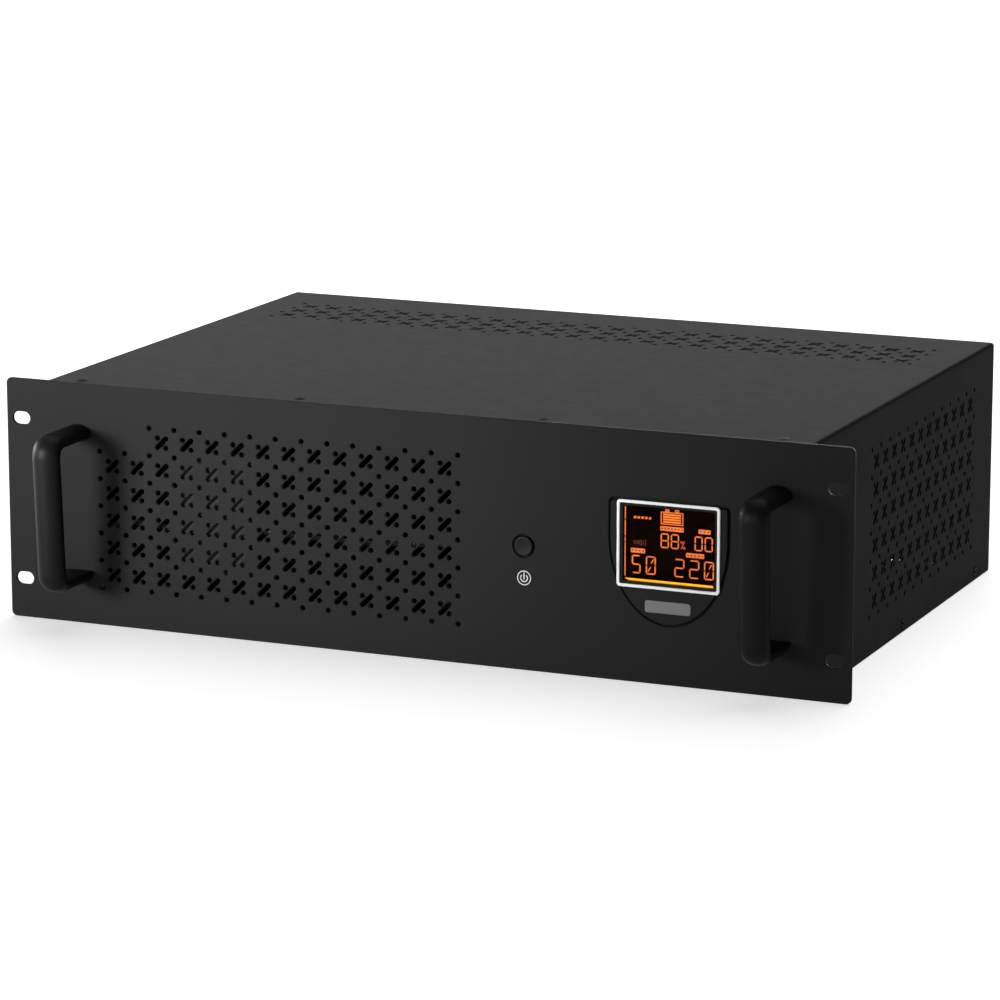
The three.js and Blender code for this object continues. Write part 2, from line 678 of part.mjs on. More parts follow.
for (const [side, x] of Object.entries(HANDLE_X)) {
  add(`handle_${side}`, handle(), SATIN_BLACK(), [x, 0, 0]);
}
handleScrewPlaces().forEach(([x, z], i) => {
  const name = `handle_screw_${i < 2 ? "left" : "right"}_${i % 2 ? "high" : "low"}`;
  add(name, panScrew(), ZINC_STEEL(), [x, PANEL.thickness + GAP, z], [-Math.PI / 2, 0, 0]);
});
TOP_SCREWS.x.forEach((x, i) => {
  add(`cover_screw_top_${i + 1}`, countersunkScrew(), BLACK_SCREW(), [x, TOP_SCREWS.y, CASE.height]);
});
for (const [side, sign] of [["left", -1], ["right", 1]]) {
  SIDE_SCREWS.y.forEach((y, i) => {
    const name = `cover_screw_${side}_${i + 1}`;
    const place = [(sign * CASE.width) / 2, y, SIDE_SCREWS.z];
    add(name, countersunkScrew(), BLACK_SCREW(), place, [0, (sign * Math.PI) / 2, 0]);
  });
}

add("display_bezel", displayBezel(), SATIN_BLACK());
add("display_frame", displayFrame(), SILVER_FRAME());
add("display_window", screenBlock(2.4, -BEZEL_PROUD, 0.2), DARK_WINDOW());
add("lcd_module", screenBlock(2.6, 0.5, 6), SCREEN_BROWN());
add("display_board", screenBlock(0.6, 6.3, 7.9), BOARD_GREEN());

const BUTTON_PLACE = [BUTTON.x, 0, BUTTON.z];
add("power_button_cap", buttonCap(), SATIN_BLACK(), BUTTON_PLACE);
add("power_button_spring", buttonSpring(), ZINC_STEEL(), BUTTON_PLACE);
add("power_switch_body", switchBody(), MATT_BLACK(), BUTTON_PLACE);
add("switch_bracket", switchBracket(), ZINC_STEEL());

for (let i = 0; i < 2; i++) {
  const y = BATTERY.firstY + BATTERY.depth / 2 + i * BATTERY.pitch;
  add(`battery_${i + 1}`, battery(), MATT_BLACK(), [BATTERY.x, y, PAN_TOP]);
}
add("battery_strap", batteryStrap(), MATT_BLACK());

const TRANSFORMER_PLACE = [TRANSFORMER.x, TRANSFORMER.y, PAN_TOP];
add("transformer_core", transformerCore(), LAMINATIONS(), TRANSFORMER_PLACE);
add("transformer_winding", transformerWinding(), COPPER(), TRANSFORMER_PLACE);
add("transformer_clamp", transformerClamp(), ZINC_STEEL(), TRANSFORMER_PLACE);

const BOARD_TOP = BOARD.z + BOARD.thickness + GAP;
add("main_board", mainBoard(), BOARD_GREEN(), [BOARD.x, BOARD.y, BOARD.z]);
HEATSINK.x.forEach((x, i) => {
  add(`heatsink_${i + 1}`, heatsink(), ALUMINIUM(), [x, HEATSINK.y, BOARD_TOP]);
});
CAPACITOR.places.forEach(([x, y], i) => {
  add(`capacitor_${i + 1}`, capacitor(), SLEEVE_BLUE(), [x, y, BOARD_TOP]);
});
RELAY.x.forEach((x, i) => {
  add(`relay_${i + 1}`, relay(), RELAY_BLUE(), [x, RELAY.y, BOARD_TOP]);
});
add("choke", choke(), COPPER(), [CHOKE.x, CHOKE.y, BOARD_TOP + CHOKE.thickness]);

const FAN_PLACE = [FAN.x, REAR_PANEL.front - GAP, FAN.z];
add("fan_frame", fanFrame(), MATT_BLACK(), FAN_PLACE);
add("fan_rotor", fanRotor(), MATT_BLACK(), FAN_PLACE);
add("fan_guard", fanGuard(), ZINC_STEEL(), [FAN.x, CASE.rear + GAP + 1.4, FAN.z]);

OUTLET.x.forEach((x, i) => {
  add(`outlet_${i + 1}`, outlet(), MATT_BLACK(), [x, CASE.rear, OUTLET.z]);
});
add("power_inlet", inlet(), MATT_BLACK(), [INLET.x, CASE.rear, INLET.z]);
add("breaker_body", breakerBody(), MATT_BLACK(), [BREAKER.x, CASE.rear, BREAKER.z]);
add("breaker_button", breakerButton(), BUTTON_RED(), [BREAKER.x, CASE.rear, BREAKER.z]);
add("network_ports", networkPorts(), ZINC_STEEL(), [NETWORK.x, CASE.rear, NETWORK.z]);
add("usb_port", usbPort(), ZINC_STEEL(), [USB.x, CASE.rear, USB.z]);

const positive = leadCurve(
  [-55, 30.5, 101], [-54, 31, 110], [-42, 45, 114], [-28, 90, 108],
  [-22, 130, 80], [-14, 160, 35], [-8, 178, 18],
);
const negative = leadCurve(
  [-55, 97, 101], [-53, 98, 110], [-40, 105, 113], [-33, 125, 100],
  [-31, 150, 60], [-33, 168, 25], [-36, 178, 18],
);
const displayLead = leadCurve(
  [142, 8.4, 70], [142, 16, 68], [138, 22, 50], [120, 26, 25], [75, 34, 9],
  [35, 60, 6], [22, 135, 6], [24, 150, 8], [27, 160, 17], [29, 172, 19], [30, 182, 17],
);
// This one runs behind the vents.
const switchLead = leadCurve(
  [53.3, 16, 66], [46, 16, 66], [25, 11, 62], [-30, 9, 58], [-95, 8.5, 58], [-143, 8.5, 55],
  [-168, 9, 57], [-188, 14, 50], [-200, 32, 30], [-203, 62, 15], [-203, 120, 12],
  [-200, 150, 14], [-192, 170, 21], [-187, 184, 18],
);
add("battery_lead_positive", tube(positive, 2, 16), lead(0xa01818));
add("battery_lead_negative", tube(negative, 2, 16), lead(0x161616));
add("display_lead", tube(displayLead, 2, 28), lead(0x77797c));
add("switch_lead", tube(switchLead, 1.6, 40), lead(0x77797c));

// The origin goes under the middle of the whole object's box.
const box = new THREE.Box3().setFromObject(caseGroup);
caseGroup.position.y = -(box.min.y + box.max.y) / 2;
const ups = new THREE.Group();
ups.add(caseGroup);

export default ups;
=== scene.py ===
# A 3U rack-mount uninterruptible power supply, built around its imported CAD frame.
#
# Sizes are millimetres in the front panel's own frame: x = 0 at its middle, y = 0 at its face with
# +y into the case, z = 0 at its lower edge. TO_FRAME turns them into the frame's metres.
import json
from math import cos, pi, radians, sin, tau

import bmesh
import bpy
from mathutils import Matrix, Vector


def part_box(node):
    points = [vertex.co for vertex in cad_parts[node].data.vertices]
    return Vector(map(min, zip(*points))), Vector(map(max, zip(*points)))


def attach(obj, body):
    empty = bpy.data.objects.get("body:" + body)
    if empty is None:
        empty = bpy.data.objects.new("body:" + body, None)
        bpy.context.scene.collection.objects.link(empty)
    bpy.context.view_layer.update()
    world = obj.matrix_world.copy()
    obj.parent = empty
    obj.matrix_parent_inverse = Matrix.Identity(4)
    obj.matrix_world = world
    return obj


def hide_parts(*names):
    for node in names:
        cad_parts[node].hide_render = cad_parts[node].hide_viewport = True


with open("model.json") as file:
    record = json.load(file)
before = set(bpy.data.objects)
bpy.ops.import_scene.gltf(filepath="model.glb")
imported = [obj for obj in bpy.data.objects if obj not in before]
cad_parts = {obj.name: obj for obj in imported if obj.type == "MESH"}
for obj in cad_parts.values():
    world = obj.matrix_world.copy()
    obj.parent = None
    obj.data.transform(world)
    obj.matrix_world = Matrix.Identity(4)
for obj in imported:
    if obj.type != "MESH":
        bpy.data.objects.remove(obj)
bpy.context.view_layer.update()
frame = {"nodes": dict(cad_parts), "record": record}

SCENE = bpy.context.scene
MM = 0.001
FACE_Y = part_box("front_panel")[0].y


def millimetres(node):
    """The lowest and highest corner of a CAD node, in the panel's millimetres."""
    return [(corner - Vector((0, FACE_Y, 0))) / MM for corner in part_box(node)]


TO_FRAME = Matrix.Translation((0, FACE_Y, 0)) @ Matrix.Scale(MM, 4)
PANEL_LOW, PANEL_HIGH = millimetres("front_panel")
COVER_LOW, COVER_HIGH = millimetres("top_cover")
REAR_FACE = millimetres("rear_panel")[1].y

# ---- Camera and studio

CAMERA = {"azimuth": 23.13, "elevation": 12.36, "distance": 2.406, "lens": 156.8}
CAMERA_TARGET = Vector((-0.0105, 0, 0.0563))
OVERHEAD = {"azimuth": 170, "elevation": 72, "distance": 4, "power": 1.4}
OVERHEAD_SPREAD = 60
AMBIENT = 0.03
KEY = {"azimuth": -31, "elevation": 8, "distance": 0.9, "width": 0.58, "height": 0.3, "power": 2.2}
KEY_AIM = {"target": (-0.25, -0.14, 0.15), "spread": 28}
FILL = {"azimuth": 0, "elevation": 12, "distance": 1.2, "width": 0.9, "height": 0.5, "power": 0.95}
FILL_AIM = {"target": (0.15, -0.14, 0.08), "spread": 70}
LEFT = {"azimuth": -96, "elevation": 8, "distance": 1.1, "width": 0.8, "height": 0.4, "power": 2.5}
REAR = {"azimuth": 178, "elevation": 6, "distance": 1.2, "width": 0.9, "height": 0.4, "power": 7}
SIDE_AIM = {"target": (0, 0, 0.07), "spread": 50}
BACKLIGHT = {"azimuth": 203, "elevation": 20, "distance": 2.6, "width": 2.6, "height": 1.2, "power": 36}
FLOOR_GLOW = 0.64


def add_object(name, data):
    obj = bpy.data.objects.new(name, data)
    SCENE.collection.objects.link(obj)
    return obj


def from_target(target, azimuth, elevation, distance):
    """A point round a target: azimuth 0 is in front of it (-Y) and 90 is to its right (+X)."""
    a, e = radians(azimuth), radians(elevation)
    return target + distance * Vector((sin(a) * cos(e), -cos(a) * cos(e), sin(e)))


def aim(obj, place, target):
    obj.location = place
    obj.rotation_mode = "QUATERNION"
    obj.rotation_quaternion = (place - target).to_track_quat("Z", "Y")


def make_camera():
    camera = add_object("camera", bpy.data.cameras.new("camera"))
    camera.data.lens = CAMERA["lens"]
    place = from_target(
        CAMERA_TARGET, CAMERA["azimuth"], CAMERA["elevation"], CAMERA["distance"]
    )
    aim(camera, place, CAMERA_TARGET)
    SCENE.camera = camera


def add_light(name, kind, azimuth, elevation, distance, power, target):
    """A light that points at a target, and that the camera doesn't see. Returns its object."""
    light = bpy.data.lights.new(name, kind)
    light.energy = power
    obj = add_object(name, light)
    obj.visible_camera = False
    aim(obj, from_target(target, azimuth, elevation, distance), target)
    return obj


def softbox(name, azimuth, elevation, distance, width, height, power, target=(0, 0, 0.07)):
    light = add_light(name, "AREA", azimuth, elevation, distance, power, Vector(target))
    light.data.shape = "RECTANGLE"
    light.data.size, light.data.size_y = width, height
    return light


def keep_off(light, objects):
    """Keeps a light from falling on some objects."""
    group = bpy.data.collections.new(f"not_lit_by_{light.name}")
    for obj in objects:
        group.objects.link(obj)
    light.light_linking.receiver_collection = group
    for link in group.collection_objects:
        link.light_linking.link_state = "EXCLUDE"


def make_studio(floor, cover):
    """Soft light from above, in front, the left and behind.

    The four near lights are kept off the floor, which would throw too much light up at the panel,
    and the rear one is kept off the cover, which it would wash out in the camera's view.
    """
    SCENE.view_settings.view_transform = "Standard"
    SCENE.view_settings.look = "None"
    world = bpy.data.worlds.new("studio")
    SCENE.world = world
    world.use_nodes = True
    background = world.node_tree.nodes["Background"]
    background.inputs["Color"].default_value = (1, 1, 1, 1)
    background.inputs["Strength"].default_value = AMBIENT
    overhead = add_light("overhead", "SUN", **OVERHEAD, target=Vector((0, 0, 0)))
    overhead.data.angle = radians(OVERHEAD_SPREAD)
    boxes = (
        ("key", KEY, KEY_AIM, [floor]),
        ("fill", FILL, FILL_AIM, [floor]),
        ("left_light", LEFT, SIDE_AIM, [floor]),
        ("rear_light", REAR, SIDE_AIM, [floor, cover]),
    )
    for name, light, aim_at, unlit in boxes:
        box = softbox(name, **light, target=aim_at["target"])
        box.data.spread = radians(aim_at["spread"])
        keep_off(box, unlit)
    softbox("backlight", **BACKLIGHT)


def make_floor():
    """A wide pale floor, level with the foot of the case."""
    size = 20
    plan = [(-size, -size), (size, -size), (size, size), (-size, size)]
    mesh = bpy.data.meshes.new("floor")
    mesh.from_pydata([(x, y, 0) for x, y in plan], [], [(0, 1, 2, 3)])
    floor = add_object("floor", mesh)
    mesh.materials.append(floor_material())
    return floor


# ---- Materials


class Nodes:
    """A material's nodes: a Principled shader, and what feeds it, in the object's own metres."""

    BAND_AT_SCALE_1 = 0.314  # how far apart a wave texture's bands are, unscaled
    NOISE_SPAN = (0.3, 0.7)  # most of a noise's values are between these

    def __init__(self, name):
        self.material = bpy.data.materials.new(name)
        self.material.use_nodes = True
        self.tree = self.material.node_tree
        self.shader = self.tree.nodes["Principled BSDF"]
        self.place = self.add("TexCoord").outputs["Object"]

    def add(self, kind, **values):
        """A new node, with some of its inputs set."""
        node = self.tree.nodes.new(f"ShaderNode{kind}")
        self.set_inputs(node, values)
        return node

    def set(self, **values):
        """Sets some of the shader's inputs."""
        self.set_inputs(self.shader, values)
        return self

    @staticmethod
    def set_inputs(node, values):
        for name, value in values.items():
            node.inputs[name.replace("_", " ")].default_value = value

    def link(self, output, target):
        self.tree.links.new(output, target)

    def stretched(self, scale):
        """The place, stretched along an axis, for brushed or layered surfaces."""
        mapping = self.add("Mapping", Scale=scale)
        self.link(self.place, mapping.inputs["Vector"])
        return mapping.outputs["Vector"]

    def noise(self, size_mm, detail=2.0, stretch=None):
        """Smooth noise whose grains are about size_mm across."""
        node = self.add("TexNoise", Scale=1 / (size_mm * MM), Detail=detail)
        place = self.stretched(stretch) if stretch else self.place
        self.link(place, node.inputs["Vector"])
        return node.outputs["Fac"]

    def bands(self, size_mm, axis):
        """Even bands size_mm apart along an axis, X, Y or Z."""
        node = self.add("TexWave", Scale=self.BAND_AT_SCALE_1 / (size_mm * MM), Distortion=0.4)
        node.bands_direction = axis
        self.link(self.place, node.inputs["Vector"])
        return node.outputs["Fac"]

    def remap(self, value, low, high):
        """A noise's values, spread from low to high."""
        start, end = self.NOISE_SPAN
        node = self.add("MapRange", From_Min=start, From_Max=end, To_Min=low, To_Max=high)
        self.link(value, node.inputs["Value"])
        return node.outputs["Result"]

    def color_between(self, value, dark, light, target="Base Color"):
        ramp = self.add("ValToRGB")
        for stop, place, color in zip(ramp.color_ramp.elements, self.NOISE_SPAN, (dark, light)):
            stop.position = place
            stop.color = (*color, 1)
        self.link(value, ramp.inputs["Fac"])
        self.link(ramp.outputs["Color"], self.shader.inputs[target])
        return self

    def vary_roughness(self, value, low, high):
        self.link(self.remap(value, low, high), self.shader.inputs["Roughness"])
        return self

    def bump(self, *layers):
        """Raises the surface by each layer, given as (value, height in mm)."""
        normal = None
        for value, height in layers:
            node = self.add("Bump", Strength=1.0, Distance=height * MM)
            self.link(value, node.inputs["Height"])
            if normal is not None:
                self.link(normal, node.inputs["Normal"])
            normal = node.outputs["Normal"]
        self.link(normal, self.shader.inputs["Normal"])
        return self


def tones(grey, spread, tint=(1, 1, 1)):
    """A darker and a lighter colour round a base value."""
    return [tuple(grey * t * (1 + s * spread) for t in tint) for s in (-1, 1)]


def coated(name, base, spread, roughness, grain_mm, height_mm, specular=0.5, tint=(1, 1, 1)):
    """Paint or moulded plastic: a fine grain, over slow changes of tone and gloss."""
    nodes = Nodes(name).set(Specular_IOR_Level=specular)
    slow = nodes.noise(45, detail=3)
    fine = nodes.noise(grain_mm, detail=3)
    nodes.color_between(slow, *tones(base, spread, tint))
    nodes.vary_roughness(nodes.noise(9, detail=4), *roughness)
    return nodes.bump((fine, height_mm)).material


def plated(name, tint, roughness, brushed=(1, 1, 1)):
    """Bare or plated metal: drawn lines along one way, with cloudy patches."""
    nodes = Nodes(name).set(Metallic=1.0)
    nodes.color_between(nodes.noise(14, detail=4), *tones(1, 0.12, tint))
    lines = nodes.noise(0.6, detail=3, stretch=brushed)
    nodes.vary_roughness(lines, *roughness)
    return nodes.bump((lines, 0.006)).material


def floor_material():
    nodes = Nodes("pale_floor").set(Specular_IOR_Level=0.1, Emission_Strength=FLOOR_GLOW)
    nodes.color_between(nodes.noise(400, detail=2), (0.84, 0.84, 0.84), (0.86, 0.86, 0.86))
    nodes.set(Emission_Color=(1, 1, 1, 1))
    nodes.vary_roughness(nodes.noise(30), 0.75, 0.85)
    return nodes.material


def lens_material():
    nodes = Nodes("display_lens").set(Transmission_Weight=1.0, IOR=1.03)
    nodes.color_between(nodes.noise(30), (0.54, 0.5, 0.49), (0.58, 0.54, 0.53))
    return nodes.vary_roughness(nodes.noise(6, detail=3), 0.015, 0.04).material


def glowing(name, color, strength):
    """A lit segment: bright in its middle tone, a little uneven from the light behind it."""
    nodes = Nodes(name).set(Roughness=0.4, Emission_Strength=strength)
    value = nodes.noise(6, detail=2)
    dark = tuple(0.82 * c for c in color)
    nodes.color_between(value, dark, color)
    return nodes.color_between(value, dark, color, "Emission Color").material


def layered(name, axis, pitch_mm, dark, light, roughness, metallic, height_mm):
    """Thin layers side by side, such as stacked sheets or wound wire."""
    nodes = Nodes(name).set(Metallic=metallic)
    layers = nodes.bands(pitch_mm, axis)
    nodes.color_between(layers, dark, light)
    nodes.vary_roughness(nodes.noise(5, detail=3), *roughness)
    return nodes.bump((layers, height_mm)).material


def board_material():
    nodes = Nodes("circuit_board")
    cells = nodes.add(
        "TexBrick",
        Scale=1 / (7 * MM),
        Color1=(0.02, 0.12, 0.05, 1),
        Color2=(0.025, 0.15, 0.06, 1),
        Mortar=(0.05, 0.24, 0.1, 1),
        Mortar_Size=0.03,
    )
    nodes.link(nodes.place, cells.inputs["Vector"])
    nodes.link(cells.outputs["Color"], nodes.shader.inputs["Base Color"])
    nodes.vary_roughness(nodes.noise(4, detail=3), 0.3, 0.45)
    return nodes.bump((cells.outputs["Fac"], 0.03)).material


# Each slot's finish, as the rest of what coated(), plated() or layered() takes.
COATINGS = {
    "powder_coat": (0.01, 0.02, (0.57, 0.61), 0.55, 0.01, 0.013),
    "handle_plastic": (0.0035, 0.08, (0.4, 0.46), 0.4, 0.006, 0.05),
    "bezel_plastic": (0.0058, 0.06, (0.42, 0.5), 0.35, 0.005, 0.05),
    "switch_plastic": (0.014, 0.1, (0.45, 0.55), 0.4, 0.01, 0.15),
    # The batteries' black plastic, darkened to near black and without gloss: painted shade for the inside
    # of the case behind the front vents.
    "battery_case": (0.002, 0.15, (0.7, 0.8), 0.5, 0.02, 0.0),
    "bracket_paint": (0.013, 0.1, (0.55, 0.65), 0.5, 0.01, 0.03),
    "fan_plastic": (0.014, 0.12, (0.42, 0.55), 0.4, 0.01, 0.2),
    "black_screw": (0.004, 0.2, (0.62, 0.7), 0.3, 0.008, 0.01),
    "display_frame": (0.5, 0.03, (0.25, 0.35), 0.5, 0.003),
    "relay_case": (0.3, 0.06, (0.3, 0.4), 0.5, 0.004, 0.5, (0.15, 0.5, 1)),
    "capacitor_sleeve": (0.12, 0.1, (0.25, 0.35), 0.6, 0.004, 0.5, (0.2, 0.35, 1)),
    "breaker_button": (0.3, 0.06, (0.3, 0.4), 0.4, 0.004, 0.5, (1, 0.08, 0.06)),
    "lead_red": (0.35, 0.08, (0.4, 0.5), 0.5, 0.01, 0.5, (1, 0.06, 0.05)),
    "lead_black": (0.012, 0.15, (0.4, 0.5), 0.5, 0.01),
    "lead_grey": (0.035, 0.08, (0.45, 0.55), 0.5, 0.01),
    "display_screen": (0.004, 0.1, (0.5, 0.6), 0.8, 0.002, 0.02, (2, 0.75, 0.6)),
}
PLATINGS = {
    "zinc_sheet": ((0.6, 0.62, 0.64), (0.35, 0.5), (0.04, 1, 1)),
    "zinc_screw": ((0.62, 0.63, 0.64), (0.3, 0.45)),
    "spring_steel": ((0.55, 0.56, 0.57), (0.25, 0.4)),
    "heatsink": ((0.72, 0.73, 0.74), (0.35, 0.5), (1, 1, 0.04)),
    "fan_guard": ((0.36, 0.365, 0.37), (0.3, 0.4)),
    "port_shell": ((0.24, 0.24, 0.235), (0.35, 0.45)),
}
LAYERS = {
    "laminations": ("Y", 0.7, (0.05, 0.052, 0.055), (0.16, 0.165, 0.17), (0.4, 0.55), 0.8, 0.08),
    "winding": ("Z", 1.1, (0.22, 0.07, 0.02), (0.62, 0.26, 0.1), (0.25, 0.4), 0.7, 0.25),
}


def make_materials():
    materials = {name: coated(name, *finish) for name, finish in COATINGS.items()}
    materials |= {name: plated(name, *finish) for name, finish in PLATINGS.items()}
    materials |= {name: layered(name, *finish) for name, finish in LAYERS.items()}
    return materials | {"circuit_board": board_material(), "display_lens": lens_material()}


MATERIALS = make_materials()


def dress_cad_nodes():
    """Each carried-over CAD node takes the procedural material of its slot."""
    for row in frame["record"]["subparts"]:
        data = frame["nodes"][row["node"]].data
        data.materials.clear()
        data.materials.append(MATERIALS[row["material_slot"]])


# ---- Outlines, as lists of (x, y) points


def arc(cx, cy, radius, start, end, steps):
    """Points round a centre, from a start angle to an end angle in degrees."""
    angles = [radians(start + (end - start) * i / steps) for i in range(steps + 1)]
    return [(cx + radius * cos(a), cy + radius * sin(a)) for a in angles]


def circle(cx, cy, radius, steps=16):
    return arc(cx, cy, radius, 0, 360, steps)[:-1]


def rounded_rectangle(cx, cy, width, height, radius, steps=6):
    x0, x1 = cx - width / 2 + radius, cx + width / 2 - radius
    y0, y1 = cy - height / 2 + radius, cy + height / 2 - radius
    corners = [(x1, y0, -90), (x1, y1, 0), (x0, y1, 90), (x0, y0, 180)]
    return [p for x, y, a in corners for p in arc(x, y, radius, a, a + 90, steps)]


def slot_outline(cx, cy, length, width, angle, steps=8):
    """A slot with round ends, turned by an angle in degrees."""
    reach = (length - width) / 2
    dx, dy = reach * cos(radians(angle)), reach * sin(radians(angle))
    far = arc(cx + dx, cy + dy, width / 2, angle - 90, angle + 90, steps)
    near = arc(cx - dx, cy - dy, width / 2, angle + 90, angle + 270, steps)
    return far + near


# ---- Solids, as bmesh pieces that join() gathers


def signed_area(points):
    pairs = zip(points, points[1:] + points[:1])
    return sum(x0 * y1 - x1 * y0 for (x0, y0), (x1, y1) in pairs) / 2


def plate(outlines, low, high, edge=0.15):
    """A flat sheet from z = low to high: the first outline less the others, its edges broken."""
    curve = bpy.data.curves.new("plate", "CURVE")
    curve.dimensions = "2D"
    curve.fill_mode = "BOTH"
    curve.extrude = (high - low) / 2 - edge
    curve.bevel_depth = edge
    curve.bevel_resolution = 0
    curve.offset = -edge
    for i, points in enumerate(outlines):
        if (signed_area(points) > 0) != (i == 0):
            points = points[::-1]
        spline = curve.splines.new("POLY")
        spline.points.add(len(points) - 1)
        for place, (x, y) in zip(spline.points, points):
            place.co = (x, y, 0, 1)
        spline.use_cyclic_u = True
    holder = bpy.data.objects.new("plate", curve)
    mesh = bpy.data.meshes.new_from_object(holder)
    bpy.data.objects.remove(holder)
    bpy.data.curves.remove(curve)
    bm = bmesh.new()
    bm.from_mesh(mesh)
    bpy.data.meshes.remove(mesh)
    bmesh.ops.remove_doubles(bm, verts=bm.verts, dist=1e-4)
    bmesh.ops.translate(bm, verts=bm.verts, vec=(0, 0, (low + high) / 2))
    bmesh.ops.recalc_face_normals(bm, faces=bm.faces)
    return bm


def lathe(profile, steps=48):
    """A solid turned about z. Its profile of (radius, z) starts and ends on the axis."""
    bm = bmesh.new()
    rings = []
    for radius, z in profile:
        count = steps if radius > 1e-6 else 1
        angles = [tau * i / steps for i in range(count)]
        rings.append([bm.verts.new((radius * cos(a), radius * sin(a), z)) for a in angles])
    for a, b in zip(rings, rings[1:]):
        for i in range(steps):
            corners = [a[i % len(a)], a[(i + 1) % len(a)], b[(i + 1) % len(b)], b[i % len(b)]]
            distinct = list(dict.fromkeys(corners))
            if len(distinct) > 2:
                bm.faces.new(distinct)
    bmesh.ops.recalc_face_normals(bm, faces=bm.faces)
    return bm


def sweep(path, section, across):
    """A section of (across, outward) points carried along a path that stays square to across."""
    bm = bmesh.new()
    rings = []
    for i, place in enumerate(path):
        along = (path[min(i + 1, len(path) - 1)] - path[max(i - 1, 0)]).normalized()
        outward = across.cross(along)
        rings.append([bm.verts.new(place + a * across + b * outward) for a, b in section])
    close_rings(bm, rings)
    return bm


def close_rings(bm, rings):
    """Joins rings of vertices into one skin with a flat cap at each end."""
    count = len(rings[0])
    for a, b in zip(rings, rings[1:]):
        for i in range(count):
            bm.faces.new((a[i], a[(i + 1) % count], b[(i + 1) % count], b[i]))
    bm.faces.new(rings[0])
    bm.faces.new(rings[-1])
    bmesh.ops.recalc_face_normals(bm, faces=bm.faces)


def wire(points, radius, closed=False, sides=10):
    """Round wire along a list of points."""
    points = [Vector(p) for p in points]
    bm = bmesh.new()
    rings = []
    last = len(points) - 1
    for i, place in enumerate(points):
        before = points[i - 1] if i or closed else place
        after = points[(i + 1) % len(points)] if i < last or closed else place
        along = (after - before).normalized()
        turn = along.to_track_quat("Z", "Y").to_matrix()
        ring = circle(0, 0, radius, sides)
        rings.append([bm.verts.new(place + turn @ Vector((x, y, 0))) for x, y in ring])
    if closed:
        bridge(bm, rings)
    else:
        close_rings(bm, rings)
    return bm


def bridge(bm, rings):
    """Joins rings of vertices end to end, into a closed loop."""
    count = len(rings[0])
    for a, b in zip(rings, rings[1:] + rings[:1]):
        shift = min(range(count), key=lambda s: (a[0].co - b[s].co).length)
        for i in range(count):
            j, k = (i + shift) % count, (i + 1 + shift) % count
            bm.faces.new((a[i], a[(i + 1) % count], b[k], b[j]))
    bmesh.ops.recalc_face_normals(bm, faces=bm.faces)


def broken_block(x0, x1, y0, y1, low, high, edge=0.2, radius=0.5):
    """A block with rounded corners in plan and broken edges."""
    outline = rounded_rectangle((x0 + x1) / 2, (y0 + y1) / 2, x1 - x0, y1 - y0, radius, 3)
    return plate([outline], low, high, edge)


# The way a flat drawing is turned: x, y and outward, as seen from each side of the case.
FROM_FRONT = Matrix.Rotation(pi / 2, 4, "X")
FROM_REAR = Matrix.Rotation(pi, 4, "Z") @ FROM_FRONT
FROM_RIGHT = Matrix.Rotation(pi / 2, 4, "Z") @ FROM_FRONT
FROM_LEFT = Matrix.Rotation(-pi / 2, 4, "Z") @ FROM_FRONT
FROM_TOP = Matrix.Identity(4)


def put(solids, turn, x=0.0, y=0.0, z=0.0):
    """Turns solids to a side of the case and moves them to a place in the panel's millimetres."""
    for solid in solids:
        solid.transform(Matrix.Translation((x, y, z)) @ turn)
    return solids


def make_piece(name, solids, slot, body="case", replaces=(), smooth=35, material=None):
    """Joins solids into one object, in the finish of a slot, that rides on a body."""
    whole = bmesh.new()
    for solid in solids:
        mesh = bpy.data.meshes.new("part")
        solid.to_mesh(mesh)
        solid.free()
        whole.from_mesh(mesh)
        bpy.data.meshes.remove(mesh)
    whole.transform(TO_FRAME)
    mesh = bpy.data.meshes.new(name)
    whole.to_mesh(mesh)
    whole.free()
    mesh.materials.append(material or MATERIALS[slot])
    mesh.shade_smooth()
    mesh.set_sharp_from_angle(angle=radians(smooth))
    obj = add_object(name, mesh)
    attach(obj, body)
    if replaces:
        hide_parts(*replaces)
    return obj


# ---- Vents: a slanted slot and two small holes beside it in each cell, and a hole at each corner

VENT = {"pitch": 15.0, "length": 9.8, "width": 2.7, "hole": 1.38, "beside": 2.5}


def vent_cell(cx, cy, lean=1):
    """The slot of one cell and the holes beside it. lean is 1 for a slot that rises to the right."""
    aside = VENT["beside"]
    return [
        slot_outline(cx, cy, VENT["length"], VENT["width"], 45 * lean),
        circle(cx - aside, cy + lean * aside, VENT["hole"]),
        circle(cx + aside, cy - lean * aside, VENT["hole"]),
    ]


def vent_grid(x0, y0, columns, rows, lean=1, has_cell=lambda column, row: True):
    """All outlines of a grid of cells whose first cell's middle is at x0, y0."""
    pitch = VENT["pitch"]

    def exists(column, row):
        return 0 <= column < columns and 0 <= row < rows and has_cell(column, row)

    holes = []
    for column in range(columns + 1):
        for row in range(rows + 1):
            x, y = x0 + column * pitch, y0 + row * pitch
            if exists(column, row):
                holes += vent_cell(x, y, lean)
            if any(exists(column + i, row + j) for i in (-1, 0) for j in (-1, 0)):
                holes.append(circle(x - pitch / 2, y - pitch / 2, VENT["hole"]))
    return holes


# ---- Front panel

PANEL = {"corner": 3.0, "thickness": 2.0, "edge": 0.4}
FLANGE = {"half": 216, "back": 20, "below_cover": 1.3, "sheet": 1.5}
RACK = {"x": 232.5, "pitch": 88.9, "width": 10.5, "height": 7.0}
FRONT_VENTS = {"x": -177.5, "columns": 14, "z": 28.5, "rows": 6, "bare_columns": 2}
BEZEL = {"x": 142.5, "half": 32.8, "top": 96.4, "straight": 76.75, "bottom": 31.25, "corner": 3.0}
BUTTON = {"x": 62.1, "z": 66.1, "hole": 6.2}
TOP_SCREWS = {"x": (-200, -70, 70, 200), "y": 9.5, "hole": 2.95}


